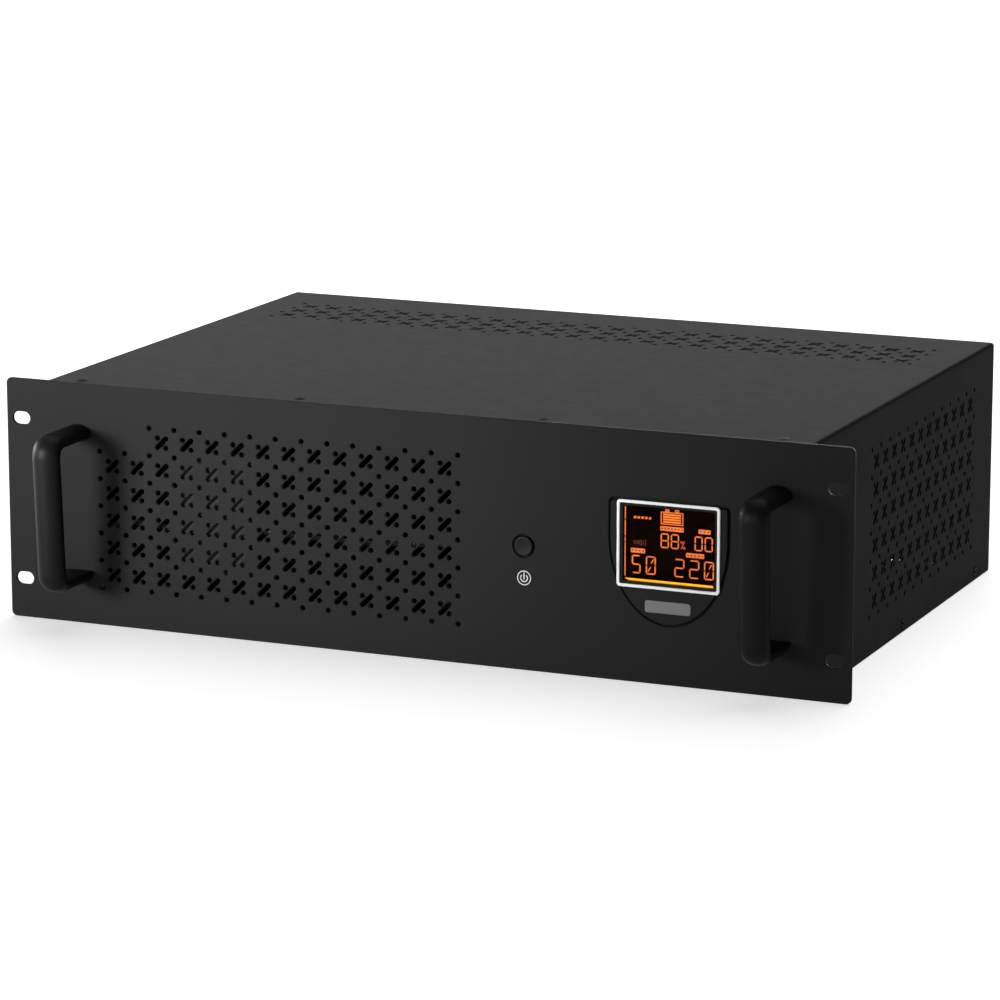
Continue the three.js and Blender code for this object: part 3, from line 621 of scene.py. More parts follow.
def shield(grow):
    """The bezel's outline: straight sides and a half-ellipse below, grown all round."""
    x, half, corner = BEZEL["x"], BEZEL["half"] + grow, BEZEL["corner"] + grow
    high = BEZEL["top"] + grow
    depth = BEZEL["straight"] - BEZEL["bottom"] + grow
    belly = [
        (x + half * cos(a), BEZEL["straight"] + depth * sin(a))
        for a in (pi + pi * i / 48 for i in range(49))
    ]
    right = arc(x + half - corner, high - corner, corner, 0, 90, 6)
    left = arc(x - half + corner, high - corner, corner, 90, 180, 6)
    return right + left + belly


def make_front_panel():
    height = PANEL_HIGH.z - PANEL_LOW.z
    width = PANEL_HIGH.x - PANEL_LOW.x
    rows, bare = FRONT_VENTS["rows"], FRONT_VENTS["bare_columns"]
    outlines = [rounded_rectangle(0, height / 2, width, height, PANEL["corner"])]
    outlines += [
        slot_outline(x, z, RACK["width"], RACK["height"], 0)
        for x in (-RACK["x"], RACK["x"])
        for z in ((height - RACK["pitch"]) / 2, (height + RACK["pitch"]) / 2)
    ]
    outlines += vent_grid(
        FRONT_VENTS["x"],
        FRONT_VENTS["z"],
        FRONT_VENTS["columns"],
        rows,
        has_cell=lambda column, row: row < rows - 1 or column >= bare,
    )
    outlines.append(circle(BUTTON["x"], BUTTON["z"], BUTTON["hole"], 48))
    outlines.append(shield(0.3))
    sheet = plate(outlines, -PANEL["thickness"], 0, PANEL["edge"])
    half, back, top = FLANGE["half"], FLANGE["back"], COVER_HIGH.z - FLANGE["below_cover"]
    flange = broken_block(-half, half, PANEL["thickness"], back, top - FLANGE["sheet"], top)
    solids = [*put([sheet], FROM_FRONT), flange]
    make_piece("front_panel_sheet", solids, "powder_coat", replaces=["front_panel"])


# ---- Cover: cut and pierced flat, then folded down at both sides

COVER = {"sheet": 1.0, "bend": 2.0, "edge": 0.15, "steps": 8}
TOP_VENTS = {"x": -187.5, "columns": 26, "y": 238.5, "rows": 3}
SIDE_VENTS = {"y": 103.5, "columns": 12, "z": 29.0, "rows": 6}
SIDE_SCREWS = {"y": (22.5, 153.5, 284.5), "z": 5.0, "hole": 2.95}

FLAT_HALF = COVER_HIGH.x - COVER["bend"]
MIDDLE_RADIUS = COVER["bend"] - COVER["sheet"] / 2
BEND_LENGTH = MIDDLE_RADIUS * pi / 2
SIDE_TOP = COVER_HIGH.z - COVER["bend"]


def unfolded(z):
    """How far from the middle of the flat pattern a height on the cover's side is."""
    return FLAT_HALF + BEND_LENGTH + SIDE_TOP - z


def fold(place):
    """Moves a point of the flat pattern to where it is once both sides are folded down."""
    side = 1 if place.x > 0 else -1
    across, out = abs(place.x), place.z
    if across <= FLAT_HALF:
        return Vector((place.x, place.y, SIDE_TOP + MIDDLE_RADIUS + out))
    radius = MIDDLE_RADIUS + out
    angle = min((across - FLAT_HALF) / MIDDLE_RADIUS, pi / 2)
    drop = max(across - FLAT_HALF - BEND_LENGTH, 0)
    x = FLAT_HALF + radius * sin(angle)
    return Vector((side * x, place.y, SIDE_TOP + radius * cos(angle) - drop))


def cover_outlines():
    half = unfolded(COVER_LOW.z)
    y0, y1 = COVER_LOW.y, COVER_HIGH.y
    outlines = [[(-half, y0), (half, y0), (half, y1), (-half, y1)]]
    outlines += vent_grid(TOP_VENTS["x"], TOP_VENTS["y"], TOP_VENTS["columns"], TOP_VENTS["rows"])
    outlines += [circle(x, TOP_SCREWS["y"], TOP_SCREWS["hole"], 24) for x in TOP_SCREWS["x"]]
    low_cell = unfolded(SIDE_VENTS["z"])
    across = low_cell - (SIDE_VENTS["rows"] - 1) * VENT["pitch"]
    for start in (across, -low_cell):
        outlines += vent_grid(
            start, SIDE_VENTS["y"], SIDE_VENTS["rows"], SIDE_VENTS["columns"], lean=-1
        )
    for side in (-1, 1):
        screw_line = side * unfolded(SIDE_SCREWS["z"])
        outlines += [circle(screw_line, y, SIDE_SCREWS["hole"], 24) for y in SIDE_SCREWS["y"]]
    return outlines


def make_cover():
    sheet, steps = COVER["sheet"], COVER["steps"]
    flat = plate(cover_outlines(), -sheet / 2, sheet / 2, COVER["edge"])
    step = BEND_LENGTH / steps
    for side in (-1, 1):
        for i in range(-1, steps + 2):
            geometry = flat.verts[:] + flat.edges[:] + flat.faces[:]
            cut = (side * (FLAT_HALF + i * step), 0, 0)
            bmesh.ops.bisect_plane(flat, geom=geometry, plane_co=cut, plane_no=(1, 0, 0))
    for vertex in flat.verts:
        vertex.co = fold(vertex.co)
    return make_piece("cover_sheet", [flat], "powder_coat", replaces=["top_cover"])


def cross_outline(length, width):
    """The outline of a cross recess."""
    a, b = width / 2, length / 2
    points = [Vector(p) for p in ((a, a), (a, b), (-a, b))]
    quarter = Matrix.Rotation(pi / 2, 2)
    outline = []
    for _ in range(4):
        outline += points[:3]
        points = [quarter @ p for p in points]
    return [tuple(p) for p in outline]


def countersunk_screw(head=2.7, depth=1.0):
    """A cross-recess screw with a flat head whose face is at z = 0."""
    rim = plate([circle(0, 0, head, 32), cross_outline(3.2, 0.85)], -0.6, 0, 0.1)
    body = lathe([(0, -6), (1.4, -6), (1.4, -depth), (head - 0.2, -0.55), (0, -0.55)], 24)
    return [rim, body]


def pan_screw(head=2.6, height=1.6):
    """A cross-recess screw with a domed head that stands on z = 0."""
    rim = plate([circle(0, 0, head * 0.72, 32), cross_outline(2.6, 0.7)], height - 0.8, height, 0.12)
    dome = [(head * sin(a), height * (1 - 0.45 * (1 - cos(a)))) for a in (0.8, 1.1, 1.35, pi / 2)]
    body = lathe([(0, 0), (head, 0), *dome[::-1], (head * 0.7, height - 0.75), (0, height - 0.75)], 32)
    return [rim, body]


PROUD = 0.25  # how far the cover screws' heads stand off the sheet


def make_cover_screws():
    for i, x in enumerate(TOP_SCREWS["x"], 1):
        solids = put(countersunk_screw(), FROM_TOP, x, TOP_SCREWS["y"], COVER_HIGH.z + PROUD)
        node = f"cover_screw_top_{i}"
        make_piece(f"{node}_crossed", solids, "black_screw", replaces=[node])
    for word, side, turn in (("left", -1, FROM_LEFT), ("right", 1, FROM_RIGHT)):
        for i, y in enumerate(SIDE_SCREWS["y"], 1):
            x = side * (COVER_HIGH.x + PROUD)
            solids = put(countersunk_screw(), turn, x, y, SIDE_SCREWS["z"])
            node = f"cover_screw_{word}_{i}"
            make_piece(f"{node}_crossed", solids, "black_screw", replaces=[node])


# ---- Handles

HANDLE = {"width": 16.0, "depth": 6.8, "low": 22.8, "high": 110.0, "bend": 9.0}
HANDLE_REACH = {"low": 37.2, "high": 40.7}
HANDLE_FOOT = -0.02  # where the bar's ends stop, just off the panel's face
HANDLE_X = {"left": -198.0, "right": 200.8}
HANDLE_SECTION = {"fullness": 2.1, "inner": 0.7, "steps": 24}


def quadratic(a, b, c, steps):
    """Points along a quadratic curve from a to c, drawn towards b."""
    shares = [i / steps for i in range(1, steps + 1)]
    return [(1 - t) ** 2 * a + 2 * t * (1 - t) * b + t * t * c for t in shares]


def handle_path():
    """The bar's middle line: out from the panel, up with a small lean, and back."""
    half, bend = HANDLE["depth"] / 2, HANDLE["bend"]
    low, high = HANDLE["low"] + half, HANDLE["high"] - half
    out_low, out_high = half - HANDLE_REACH["low"], half - HANDLE_REACH["high"]
    low_bend = [(out_low + bend, low), (out_low, low), (out_low, low + bend)]
    high_bend = [(out_high, high - bend), (out_high, high), (out_high + bend, high)]
    path = [Vector((0, HANDLE_FOOT, low))]
    for places in (low_bend, high_bend):
        corner = [Vector((0, *place)) for place in places]
        path += [corner[0], *quadratic(*corner, 16)]
    return [*path, Vector((0, HANDLE_FOOT, high))]


def handle_section():
    """Half an oval: flat with small edges towards the fingers, round on the outside."""
    half, depth = HANDLE["width"] / 2, HANDLE["depth"] / 2
    inner, steps = HANDLE_SECTION["inner"], HANDLE_SECTION["steps"]
    power = 2 / HANDLE_SECTION["fullness"]
    crown = []
    for i in range(steps + 1):
        angle = pi * i / steps
        side = 1 if angle < pi / 2 else -1
        across = side * half * abs(cos(angle)) ** power
        crown.append((across, inner - depth + (2 * depth - inner) * sin(angle) ** power))
    return (
        arc(half - inner, -depth + inner, inner, -90, 0, 3)[:-1]
        + crown
        + arc(inner - half, -depth + inner, inner, 180, 270, 3)[1:]
    )


def make_handles():
    for side, x in HANDLE_X.items():
        bar = sweep(handle_path(), handle_section(), Vector((1, 0, 0)))
        solids = put([bar], FROM_TOP, x)
        name = f"handle_{side}"
        make_piece(f"{name}_bar", solids, "handle_plastic", replaces=[name], smooth=50)


# ---- Display

SCREEN = {"x": 142.6, "z": 73.3, "width": 56.2, "height": 45.6}
BEZEL_FACE = 1.0
SUNK = 0.05  # how far what is stuck on the bezel's face reaches into it
LCD_FACE = -0.45
LCD_MARK = 0.06  # how far a lit mark stands off the cell


def screen_rectangle(inset, radius):
    width, height = SCREEN["width"] - 2 * inset, SCREEN["height"] - 2 * inset
    return rounded_rectangle(SCREEN["x"], SCREEN["z"], width, height, radius)


def make_bezel():
    opening = screen_rectangle(3.1, 0.6)
    face = plate([shield(-0.95), opening], -2.3, BEZEL_FACE, 0.3)
    back = plate([shield(2), opening], -3.8, -2.2, 0.1)
    walls = plate([screen_rectangle(-2, 1), screen_rectangle(0, 1)], -11, -3.7, 0.1)
    shell = put([face, back, walls], FROM_FRONT)
    make_piece("bezel_shell", shell, "bezel_plastic", replaces=["display_bezel"])


def make_screen():
    ring = plate([screen_rectangle(0, 1.9), screen_rectangle(1.55, 0.9)], BEZEL_FACE - SUNK, 2.0, 0.3)
    window = plate([screen_rectangle(3.2, 0.5)], 0.05, 0.8, 0.1)
    cell = plate([screen_rectangle(2.7, 0.5)], -6, LCD_FACE, 0.1)
    for name, solid, slot, node in (
        ("screen_trim", ring, "display_frame", "display_frame"),
        ("screen_window", window, "display_lens", "display_window"),
        ("screen_cell", cell, "display_screen", "lcd_module"),
    ):
        make_piece(name, put([solid], FROM_FRONT), slot, replaces=[node])


DIGIT_SEGMENTS = {"0": "abcdef", "2": "abged", "5": "afgcd", "8": "abcdefg"}


def mark(outline, holes=()):
    return plate([outline, *holes], LCD_FACE - 0.01, LCD_FACE + LCD_MARK, 0.01)


def rectangle(x0, x1, z0, z1):
    return [(x0, z0), (x1, z0), (x1, z1), (x0, z1)]


def bar(x0, x1, z0, z1):
    return mark(rectangle(x0, x1, z0, z1))


def segment(x0, z0, x1, z1, thick):
    """One pointed stroke of a digit between two joints, drawn a little short of both."""
    start, end = Vector((x0, z0)), Vector((x1, z1))
    along = (end - start).normalized()
    side = Vector((-along.y, along.x)) * thick / 2
    gap, point = along * thick * 0.25, along * thick / 2
    start, end = start + gap, end - gap
    right = [start + point - side, end - point - side]
    left = [end - point + side, start + point + side]
    return mark([tuple(c) for c in (start, *right, end, *left)])


def digit(text, x0, x1, z0, z1, thick):
    """A seven-segment digit between two sides and two heights."""
    half = thick / 2
    left, right, low, high = x0 + half, x1 - half, z0 + half, z1 - half
    middle = (low + high) / 2
    joints = {
        "a": (left, high, right, high),
        "b": (right, middle, right, high),
        "c": (right, low, right, middle),
        "d": (left, low, right, low),
        "e": (left, low, left, middle),
        "f": (left, middle, left, high),
        "g": (left, middle, right, middle),
    }
    return [segment(*joints[name], thick) for name in DIGIT_SEGMENTS[text]]


def chip(x0, x1, z0, z1):
    """A lit label plate with a row of small square holes."""
    count = round((x1 - x0) / 1.9)
    pitch, middle = (x1 - x0) / count, (z0 + z1) / 2
    holes = [
        rounded_rectangle(x0 + (i + 0.5) * pitch, middle, 0.75, 0.75, 0.1, 1) for i in range(count)
    ]
    return mark(rounded_rectangle((x0 + x1) / 2, middle, x1 - x0, z1 - z0, 0.4, 3), holes)


def ring(x, z, radius, inner):
    return mark(circle(x, z, radius), [circle(x, z, inner)])


def percent_sign(x0, x1, z0, z1):
    """A slanted stroke between two rings."""
    radius = (x1 - x0) * 0.24
    inner = radius * 0.45
    return [
        ring(x0 + radius, z1 - radius - 0.2, radius, inner),
        ring(x1 - radius, z0 + radius + 0.2, radius, inner),
        segment(x0 + 0.4, z0, x1 - 0.4, z1, 0.45),
    ]


def wave_stroke(x, z, radius):
    outer = arc(x, z, radius, -35, 35, 6)
    inner = arc(x, z, radius - 0.35, -35, 35, 6)
    return mark(outer + inner[::-1])


def speaker_symbol(x, z):
    """A small loudspeaker in outline with two waves."""
    line = 0.35
    box = mark(*frame_outlines(x, x + 2.6, z + 0.6, z + 2.1, line))
    cone = [(x + 2.7, z + 0.6), (x + 4.3, z - 0.2), (x + 4.3, z + 2.9), (x + 2.7, z + 2.1)]
    hollow = [(x + 3.05, z + 0.8), (x + 3.95, z + 0.4), (x + 3.95, z + 2.3), (x + 3.05, z + 1.9)]
    waves = [wave_stroke(x + 3.6, z + 1.35, radius) for radius in (1.9, 3.1)]
    return [box, mark(cone, [hollow]), *waves]


def frame_outlines(x0, x1, z0, z1, line):
    """A rectangle's outline, and its hole one line in."""
    return rectangle(x0, x1, z0, z1), [rectangle(x0 + line, x1 - line, z0 + line, z1 - line)]


def battery_symbol(x0, x1, z0, z1):
    """A battery: a box with two posts and four charge bars."""
    line = 0.45
    solids = [mark(*frame_outlines(x0, x1, z0, z1, line))]
    pitch = (z1 - z0 - 2 * line - 0.5) / 4
    for i in range(4):
        low = z0 + line + 0.45 + i * pitch
        solids.append(bar(x0 + 1.25, x1 - 1.25, low, low + pitch - 0.35))
    for x in (x0 + 3.5, x1 - 3.4):
        solids.append(mark(*frame_outlines(x - 1.1, x + 1.1, z1 + 0.1, z1 + 1.4, line)))
    return solids


def slashed(x0, x1, z0, z1, thick):
    """The two short strokes across a nought, from its lower left to its upper right."""
    middle_x, middle_z = (x0 + x1) / 2, (z0 + z1) / 2
    low = segment(x0 + 1.1, z0 + 1.3, middle_x, middle_z - 0.7, thick)
    high = segment(middle_x, middle_z + 0.7, x1 - 1.1, z1 - 1.3, thick)
    return [low, high]


SCALE_BARS = ((85.7, 92.1), (76.8, 85.0), (73.7, 76.1), (55.7, 73.2))
CHIPS = (
    (137.5, 150.25, 81.1, 83.5),
    (158.3, 164.8, 81.2, 83.5),
    (121.5, 129.25, 68.3, 70.7),
    (151.7, 161.5, 68.3, 70.7),
)
HIGH_ROW = (72.1, 79.8)
HIGH_DIGITS = (("8", 137.75, 142.25), ("8", 143.3, 147.75), ("0", 156.25, 160.6), ("0", 161.7, 166.1))
LOW_ROW = (57.5, 67.1)
LOW_DIGITS = (
    ("5", 122.1, 126.9),
    ("0", 129.8, 135.2),
    ("2", 145.4, 150.8),
    ("2", 153.5, 158.9),
    ("0", 161.5, 166.8),
)
STROKE = 0.64
SLASH = 0.5


def make_screen_marks():
    lit = [bar(118.1, 118.6, z0, z1) for z0, z1 in SCALE_BARS]
    lit += battery_symbol(137.75, 150.0, 84.4, 91.0)
    for i in range(5):  # slanted chips, where the photo's screen has a word
        left = 122.9 + i * 2.05
        lit.append(mark([(left, 86.3), (left + 1.2, 86.3), (left + 1.6, 87.5), (left + 0.4, 87.5)]))
    for text, x0, x1 in HIGH_DIGITS:
        lit += digit(text, x0, x1, *HIGH_ROW, STROKE)
    for text, x0, x1 in LOW_DIGITS:
        lit += digit(text, x0, x1, *LOW_ROW, STROKE)
        if text == "0":
            lit += slashed(x0, x1, *LOW_ROW, SLASH)
    make_marks("screen_lit_marks", lit, glowing("lit_orange", (1.0, 0.23, 0.03), 1.5))
    chips = [chip(*row) for row in CHIPS]
    make_marks("screen_label_chips", chips, glowing("lit_chip", (1.0, 0.25, 0.05), 1.15))
    level = mark([(118.4, 54.5), (120.3, 53.75), (166.4, 53.75), (166.4, 54.7), (118.4, 54.7)])
    make_marks("screen_level_bar", [level], glowing("lit_amber", (1.0, 0.4, 0.01), 2.6))
    percent = percent_sign(148.5, 151.3, 72.1, 76.7)
    make_marks("screen_percent_sign", percent, glowing("lit_percent", (0.8, 0.13, 0.03), 1.3))
    faint = speaker_symbol(123.1, 72.5)
    make_marks("screen_faint_marks", faint, glowing("lit_faint", (0.25, 0.05, 0.015), 0.9))


def make_marks(name, solids, material):
    make_piece(name, put(solids, FROM_FRONT), "display_screen", material=material)


BADGE = {"z": 41.2, "width": 25, "height": 6.4, "corner": 1.4, "stands": 0.35}


def make_badge():
    """A blank badge under the screen."""
    outline = rounded_rectangle(
        BEZEL["x"], BADGE["z"], BADGE["width"], BADGE["height"], BADGE["corner"], 5
    )
    badge = plate([outline], BEZEL_FACE - SUNK, BEZEL_FACE + BADGE["stands"], 0.15)
    silver = coated("badge_silver", 0.06, 0.05, (0.35, 0.45), 0.4, 0.004)
    make_piece("blank_badge", put([badge], FROM_FRONT), "display_frame", material=silver)


# ---- Power button

# The coil is drawn as short as it is with the button held in, so that the cap never crosses it.
# Its ends are measured behind the panel's face.
COIL = {"start": 6.2, "end": 8.6, "radius": 3.6, "turns": 3, "steps": 72, "wire": 0.32}
POWER_MARK = {"x": 62.4, "z": 49.3, "ring": (3.9, 3.4), "arc": (2.2, 1.65), "stroke": (3.6, 0.6)}


def coil_points():
    start, end, steps = COIL["start"], COIL["end"], COIL["steps"]
    points = []
    for i in range(steps + 1):
        angle = COIL["turns"] * tau * i / steps
        depth = -start - (end - start) * i / steps
        points.append(Vector((COIL["radius"] * cos(angle), COIL["radius"] * sin(angle), depth)))
    return points


def make_power_button():
    face = [(0, 0.28), (1.6, 0.31), (3.0, 0.42), (4.1, 0.58), (4.6, 0.62), (4.95, 0.5), (5.15, 0.15)]
    stem = [(5.15, -2.5), (6.8, -2.5), (6.8, -3.5), (2, -3.5), (2, -12), (0, -12)]
    place = (BUTTON["x"], 0, BUTTON["z"])
    cap = put([lathe(face + stem, 64)], FROM_FRONT, *place)
    name, node = "power_button_dished_cap", "power_button_cap"
    make_piece(name, cap, "bezel_plastic", "power_button", [node], smooth=30)
    spring = put([wire(coil_points(), COIL["wire"])], FROM_FRONT, *place)
    make_piece("power_button_coil", spring, "spring_steel", replaces=["power_button_spring"])


def make_power_mark():
    """The usual on/off sign in a ring, printed on the panel under the button."""
    x, z = POWER_MARK["x"], POWER_MARK["z"]
    whole_ring = [circle(x, z, radius, 48) for radius in POWER_MARK["ring"]]
    outer, inner = POWER_MARK["arc"]
    broken_ring = [arc(x, z, outer, 130, 410, 36) + arc(x, z, inner, 410, 130, 36)]
    stroke = [slot_outline(x, z + 1.05, *POWER_MARK["stroke"], 90)]
    solids = [plate(outlines, -0.02, 0.05, 0.01) for outlines in (whole_ring, broken_ring, stroke)]
    ink = coated("printed_white", 0.32, 0.04, (0.5, 0.6), 0.4, 0.002)
    make_piece("power_mark", put(solids, FROM_FRONT), "display_frame", material=ink)


# ---- Rear panel and its sockets. Each is drawn round (0, 0), as seen from behind.

GAP = 0.3
REAR_SHEET = 1.2
SOCKET_FACE = 3.1  # how far the sockets' faces stand off the rear panel
FAN = {"x": -160.0, "z": 66.0, "size": 80.0, "depth": 25.0, "duct": 37.5, "hub": 16.0}
FAN_CORNER = 35.75
FAN_BACK = -REAR_SHEET - GAP
OUTLETS = {"x": (38.0, 87.0, 136.0, 185.0), "z": 92.0, "size": 47.0}
OUTLET = {"body": 22.0, "cavity": 19.5, "deep": 17.5, "pin": 9.5}
INLET = {"x": 176.0, "z": 34.0, "width": 27.0, "height": 19.5, "deep": 17.0}
BREAKER = {"x": 118.0, "z": 34.0}
NETWORK = {"x": -64.0, "z": 34.0, "width": 31.0, "height": 14.0, "jack": 7.7}
CONTACT_PITCH = 1.02
USB = {"x": -20.0, "z": 34.0, "width": 12.4, "height": 11.2}
REAR_SCREWS = [(x, z) for x in (-205.0, -102.5, 0.0, 102.5, 205.0) for z in (8.0, 124.0)]


def on_rear(solids, x, z):
    """Turns solids to face the rear and moves them to a place on the rear panel."""
    return put(solids, FROM_REAR, x, REAR_FACE, z)


def rear_opening(place):
    width, height = place["width"] + 2 * GAP, place["height"] + 2 * GAP
    return rounded_rectangle(-place["x"], place["z"], width, height, 0.8, 3)


def make_rear_panel():
    low, high = millimetres("rear_panel")
    middle = (low.z + high.z) / 2
    outlines = [rounded_rectangle(0, middle, high.x - low.x, high.z - low.z, 0.8, 3)]
    outlines.append(circle(-FAN["x"], FAN["z"], FAN["duct"] + 0.5, 64))
    outlines += [circle(-x, OUTLETS["z"], OUTLET["body"] + GAP, 48) for x in OUTLETS["x"]]
    outlines += [rear_opening(place) for place in (INLET, NETWORK, USB)]
    outlines.append(circle(-BREAKER["x"], BREAKER["z"], 5.5 + GAP, 24))
    sheet = plate(outlines, -REAR_SHEET, 0)
    make_piece("rear_panel_sheet", on_rear([sheet], 0, 0), "powder_coat", replaces=["rear_panel"])
    screws = [s for x, z in REAR_SCREWS for s in on_rear(pan_screw(), x, z)]
    make_piece("rear_panel_screws", screws, "black_screw")


def earth_clip(side, floor):
    """A bent strip on a socket's wall, whose middle springs inwards. side is 1 at the top."""
    wall = OUTLET["cavity"] - 0.4
    bends = [(0, 0), (-0.2, 3), (-1.8, 7), (-2.2, 9.5), (-1.2, 12.5), (0, 15)]
    path = [Vector((0, side * (wall + inward), floor + out)) for inward, out in bends]
    section = [(-2.4, -0.3), (2.4, -0.3), (2.4, 0.3), (-2.4, 0.3)]
    return sweep(path, section, Vector((1, 0, 0)))


def earthed_outlet(floor):
    """A round earthed socket in a square flange: a cup with a ridge, guide ribs and two pin holes."""
    face, cavity, body = SOCKET_FACE, OUTLET["cavity"], OUTLET["body"]
    square = rounded_rectangle(0, 0, OUTLETS["size"], OUTLETS["size"], 5)
    flange = plate([square, circle(0, 0, 20.9, 64)], GAP, face, 0.5)
    cup = lathe([
        (0, face - 26), (body - 0.6, face - 26), (body - 0.1, face - 25.5), (body - 0.1, 0.1),
        (20.8, 0.1), (20.8, face + 0.3), (20.5, face + 0.6), (20.0, face + 0.6),
        (cavity, face + 0.1), (cavity, floor - 7), (0, floor - 7),
    ], 64)
    pins = [circle(x, 0, 2.7, 20) for x in (-OUTLET["pin"], OUTLET["pin"])]
    base = plate([circle(0, 0, cavity - 0.05, 64), *pins], floor - 1.5, floor, 0.3)
    ridge = broken_block(-4, 4, -11, 11, floor - 0.2, floor + 2.5, 0.5, 2)
    ribs = [
        broken_block(side * 18.6 - 1, side * 18.6 + 1, -2.5, 2.5, floor - 0.2, face - 1.5, 0.3, 0.5)
        for side in (-1, 1)
    ]
    return [flange, cup, base, ridge, *ribs]


def make_outlets():
    floor = SOCKET_FACE - OUTLET["deep"]
    screws = []
    for i, x in enumerate(OUTLETS["x"], 1):
        z = OUTLETS["z"]
        socket = on_rear(earthed_outlet(floor), x, z)
        make_piece(f"outlet_{i}_socket", socket, "switch_plastic", replaces=[f"outlet_{i}"])
        clips = on_rear([earth_clip(side, floor) for side in (-1, 1)], x, z)
        make_piece(f"outlet_{i}_earth_clips", clips, "spring_steel")
        for corner in (-19.2, 19.2):
            heads = put(countersunk_screw(2.2, 0.8), FROM_TOP, 0, 0, SOCKET_FACE)
            screws += on_rear(heads, x + corner, z - corner)
    make_piece("outlet_screws", screws, "zinc_screw")


def cut_corner_rectangle(width, height, cut):
    """A rectangle whose two upper corners are cut off."""
    a, b = width / 2, height / 2
    return [(-a, -b), (a, -b), (a, b - cut), (a - cut, b), (cut - a, b), (-a, b - cut)]


def make_inlet():
    face, x, z = SOCKET_FACE, INLET["x"], INLET["z"]
    floor = face - INLET["deep"]
    mouth = cut_corner_rectangle(24, 16, 4)
    flange = plate([rounded_rectangle(0, 0, 50, 23, 4), mouth], GAP, face, 0.4)
    outer = rounded_rectangle(0, 0, INLET["width"] - 0.2, INLET["height"] - 0.2, 1.5)
    walls = plate([outer, mouth], floor - 7, GAP + 0.1)
    base = plate([cut_corner_rectangle(24.4, 16.4, 4)], floor - 2, floor, 0.1)
    solids = on_rear([flange, walls, base], x, z)
    make_piece("inlet_housing", solids, "switch_plastic", replaces=["power_inlet"])
    places = ((-7, -1), (7, -1), (0, 3))
    blades = [
        plate([rounded_rectangle(px, pz, 2, 4, 0.4, 3)], floor - 1, face - 3, 0.45)
        for px, pz in places
    ]
    make_piece("inlet_pins", on_rear(blades, x, z), "port_shell")
    heads = []
    for side in (-20, 20):
        heads += on_rear(put(countersunk_screw(2.4, 0.8), FROM_TOP, side, 0, face), x, z)
    make_piece("inlet_screws", heads, "zinc_screw")


def make_breaker():
    x, z = BREAKER["x"], BREAKER["z"]
    collar = plate([circle(0, 0, 8, 6), circle(0, 0, 4.6, 32)], GAP, 2.5, 0.4)
    neck = lathe([
        (0, -8), (5.4, -8), (5.4, 3.4), (4.9, 4.0), (4.3, 4.0), (4.3, 1.0), (3.0, 1.0), (3.0, -7), (0, -7)
    ])
    box = broken_block(-7.5, 7.5, -13.5, 13.5, -34, -7.5, 0.4, 1.5)
    solids = on_rear([collar, neck, box], x, z)
    make_piece("breaker_housing", solids, "switch_plastic", replaces=["breaker_body"])
    cap = lathe([
        (0, 6.55), (1.5, 6.6), (2.8, 6.7), (3.3, 6.5), (3.6, 6.0), (3.95, 4.9), (3.85, 4.5),
        (2.6, 4.4), (2.6, -6.5), (0, -6.5),
    ])
    name, button = "breaker_button_dished_cap", "breaker_button"
    make_piece(name, on_rear([cap], x, z), slot=button, body=button, replaces=[button])


def jack_mouth(x):
    """The mouth of a network jack: a rectangle with a notch below for the plug's latch."""
    a, b, notch, low = 5.9, 4.3, 2.75, -6.0
    return [
        (x - a, -b), (x - notch, -b), (x - notch, low), (x + notch, low),
        (x + notch, -b), (x + a, -b), (x + a, b), (x - a, b),
    ]


def port_contact(x):
    """One sprung contact wire of a network jack."""
    return wire([(x, 4.1, -3), (x, 1.2, -9.5), (x, 1.0, -11.95)], 0.22, sides=6)


def make_network_ports():
    width, height, jack = NETWORK["width"], NETWORK["height"], NETWORK["jack"]
    outline = rounded_rectangle(0, 0, width, height, 0.8, 3)
    shell = plate([outline, jack_mouth(-jack), jack_mouth(jack)], -12, 1, 0.2)
    back = plate([outline], -18, -11.9, 0.2)
    place = (NETWORK["x"], NETWORK["z"])
    solids = on_rear([shell, back], *place)
    make_piece("network_port_shell", solids, "port_shell", replaces=["network_ports"])
    contacts = [
        port_contact(side * jack + (i - 3.5) * CONTACT_PITCH) for side in (-1, 1) for i in range(8)
    ]
    gold = plated("contact_gold", (0.4, 0.26, 0.09), (0.3, 0.4))
    make_piece("network_port_contacts", on_rear(contacts, *place), "port_shell", material=gold)


def make_usb_port():
    place = (USB["x"], USB["z"])
    mouth = cut_corner_rectangle(8.8, 8, 1.6)
    outline = rounded_rectangle(0, 0, USB["width"], USB["height"], 0.8, 3)
    shell = [plate([outline, mouth], -9.2, 1, 0.2), plate([outline], -16, -9.1, 0.2)]
    make_piece("usb_port_shell", on_rear(shell, *place), "port_shell", replaces=["usb_port"])
    tongue = broken_block(-2.8, 2.8, -1.6, 1.6, -9.3, -0.5, 0.2, 0.4)
    make_piece("usb_port_tongue", on_rear([tongue], *place), "switch_plastic")


# ---- Fan


def ring_lathe(profile, steps=64):
    """A ring turned about z, from a closed profile of (radius, z)."""
    bm = bmesh.new()
    angles = [tau * i / steps for i in range(steps)]
    rings = [[bm.verts.new((r * cos(a), r * sin(a), z)) for r, z in profile] for a in angles]
    count = len(profile)
    for a, b in zip(rings, rings[1:] + rings[:1]):
        for i in range(count):
            j = (i + 1) % count
            bm.faces.new((a[i], a[j], b[j], b[i]))
    bmesh.ops.recalc_face_normals(bm, faces=bm.faces)
    return bm


def fan_corners():
    return [(x, y) for x in (-FAN_CORNER, FAN_CORNER) for y in (-FAN_CORNER, FAN_CORNER)]


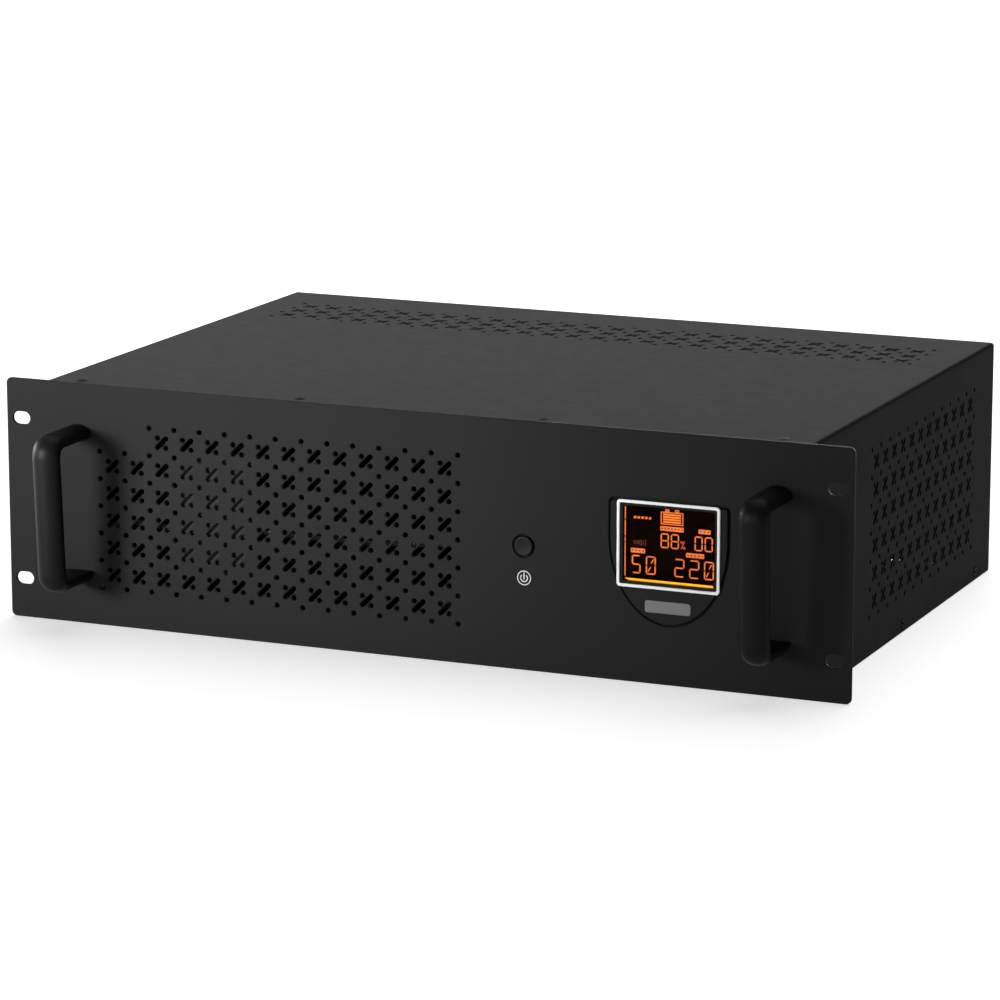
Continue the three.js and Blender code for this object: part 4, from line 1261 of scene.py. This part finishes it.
def fan_frame():
    size, depth, duct, back = FAN["size"], FAN["depth"], FAN["duct"], FAN_BACK
    outline = rounded_rectangle(0, 0, size, size, 4)
    holes = [circle(x, y, 2.15, 16) for x, y in fan_corners()]
    lip = 3.6
    flanges = [
        plate([outline, circle(0, 0, duct, 64), *holes], low, low + lip, 0.3)
        for low in (back - depth, back - lip)
    ]
    tube = ring_lathe([
        (duct, back - depth + 1), (duct + 1.8, back - depth + 1), (duct + 1.8, back - 1), (duct, back - 1)
    ])
    mount = plate([circle(0, 0, FAN["hub"] - 1, 48), circle(0, 0, 2, 16)], back - 4.5, back - GAP, 0.4)
    struts = []
    for i in range(3):
        strut = broken_block(13.5, duct + 0.6, -1.5, 1.5, back - 3.5, back - 0.5, 0.3, 0.3)
        strut.transform(Matrix.Rotation(pi + i * tau / 3 + 0.5, 4, "Z"))
        struts.append(strut)
    return [*flanges, tube, mount, *struts]


def fan_blade(angle, steps=8):
    """A twisted, curved blade from the hub to just inside the duct."""
    middle = FAN_BACK - FAN["depth"] / 2 - 2
    chord_points = [i / 6 - 0.5 for i in range(7)]
    upper = [(u, 1.3 * (1 - 4 * u * u) + 0.5) for u in chord_points]
    lower = [(u, 1.3 * (1 - 4 * u * u) - 0.5) for u in reversed(chord_points)]
    bm = bmesh.new()
    rings = []
    for i in range(steps + 1):
        share = i / steps
        radius = FAN["hub"] - 0.6 + share * (FAN["duct"] - FAN["hub"] - 0.4)
        pitch = radians(48 - 20 * share)
        chord = 14 + 6 * share
        ring = []
        for u, rise in upper + lower:
            across = u * chord * cos(pitch) - rise * sin(pitch)
            along = u * chord * sin(pitch) + rise * cos(pitch)
            turn = angle + 0.35 * share + across / radius
            ring.append(bm.verts.new((radius * cos(turn), radius * sin(turn), middle + along)))
        rings.append(ring)
    close_rings(bm, rings)
    return bm


def make_fan():
    place = (FAN["x"], FAN["z"])
    make_piece("fan_frame_shell", on_rear(fan_frame(), *place), "fan_plastic", replaces=["fan_frame"])
    hub, top = FAN["hub"], FAN_BACK - 6
    low = FAN_BACK - FAN["depth"] + 2
    rotor = [lathe([
        (0, low), (hub - 1, low), (hub, low + 1), (hub, top - 0.8), (hub - 0.8, top),
        (1.5, top), (1.5, FAN_BACK - 1.5), (0, FAN_BACK - 1.5),
    ])]
    blades = 7
    rotor += [fan_blade(i * tau / blades) for i in range(blades)]
    rotor = on_rear(rotor, *place)
    make_piece("fan_rotor_bladed", rotor, "fan_plastic", "fan_rotor", ["fan_rotor"], smooth=40)
    guard = [wire([(x, y, 1.7) for x, y in circle(0, 0, r, 48)], 0.8, True) for r in (13, 22, 31)]
    for angle in (45, 135):
        arm = Vector((cos(radians(angle)), sin(radians(angle)), 0)) * (FAN_CORNER * 2**0.5 - 2.9)
        guard.append(wire([-arm + Vector((0, 0, 1.1)), arm + Vector((0, 0, 1.1))], 0.8))
    for x, y in fan_corners():
        guard.append(wire([(px, py, 1.1) for px, py in circle(x, y, 2.9, 24)], 0.8, True))
    make_piece("fan_guard_wires", on_rear(guard, *place), "fan_guard", replaces=["fan_guard"])
    heads = []
    for x, y in fan_corners():
        heads += put(pan_screw(3.0, 1.8), FROM_TOP, x, y, 1.2)
    make_piece("fan_screws", on_rear(heads, *place), "black_screw")


# ---- Make everything

make_camera()
dress_cad_nodes()
make_front_panel()
cover_sheet = make_cover()
make_cover_screws()
make_handles()
make_bezel()
make_screen()
make_screen_marks()
make_badge()
make_power_button()
make_power_mark()
make_rear_panel()
make_outlets()
make_inlet()
make_breaker()
make_network_ports()
make_usb_port()
make_fan()
make_studio(make_floor(), cover_sheet)
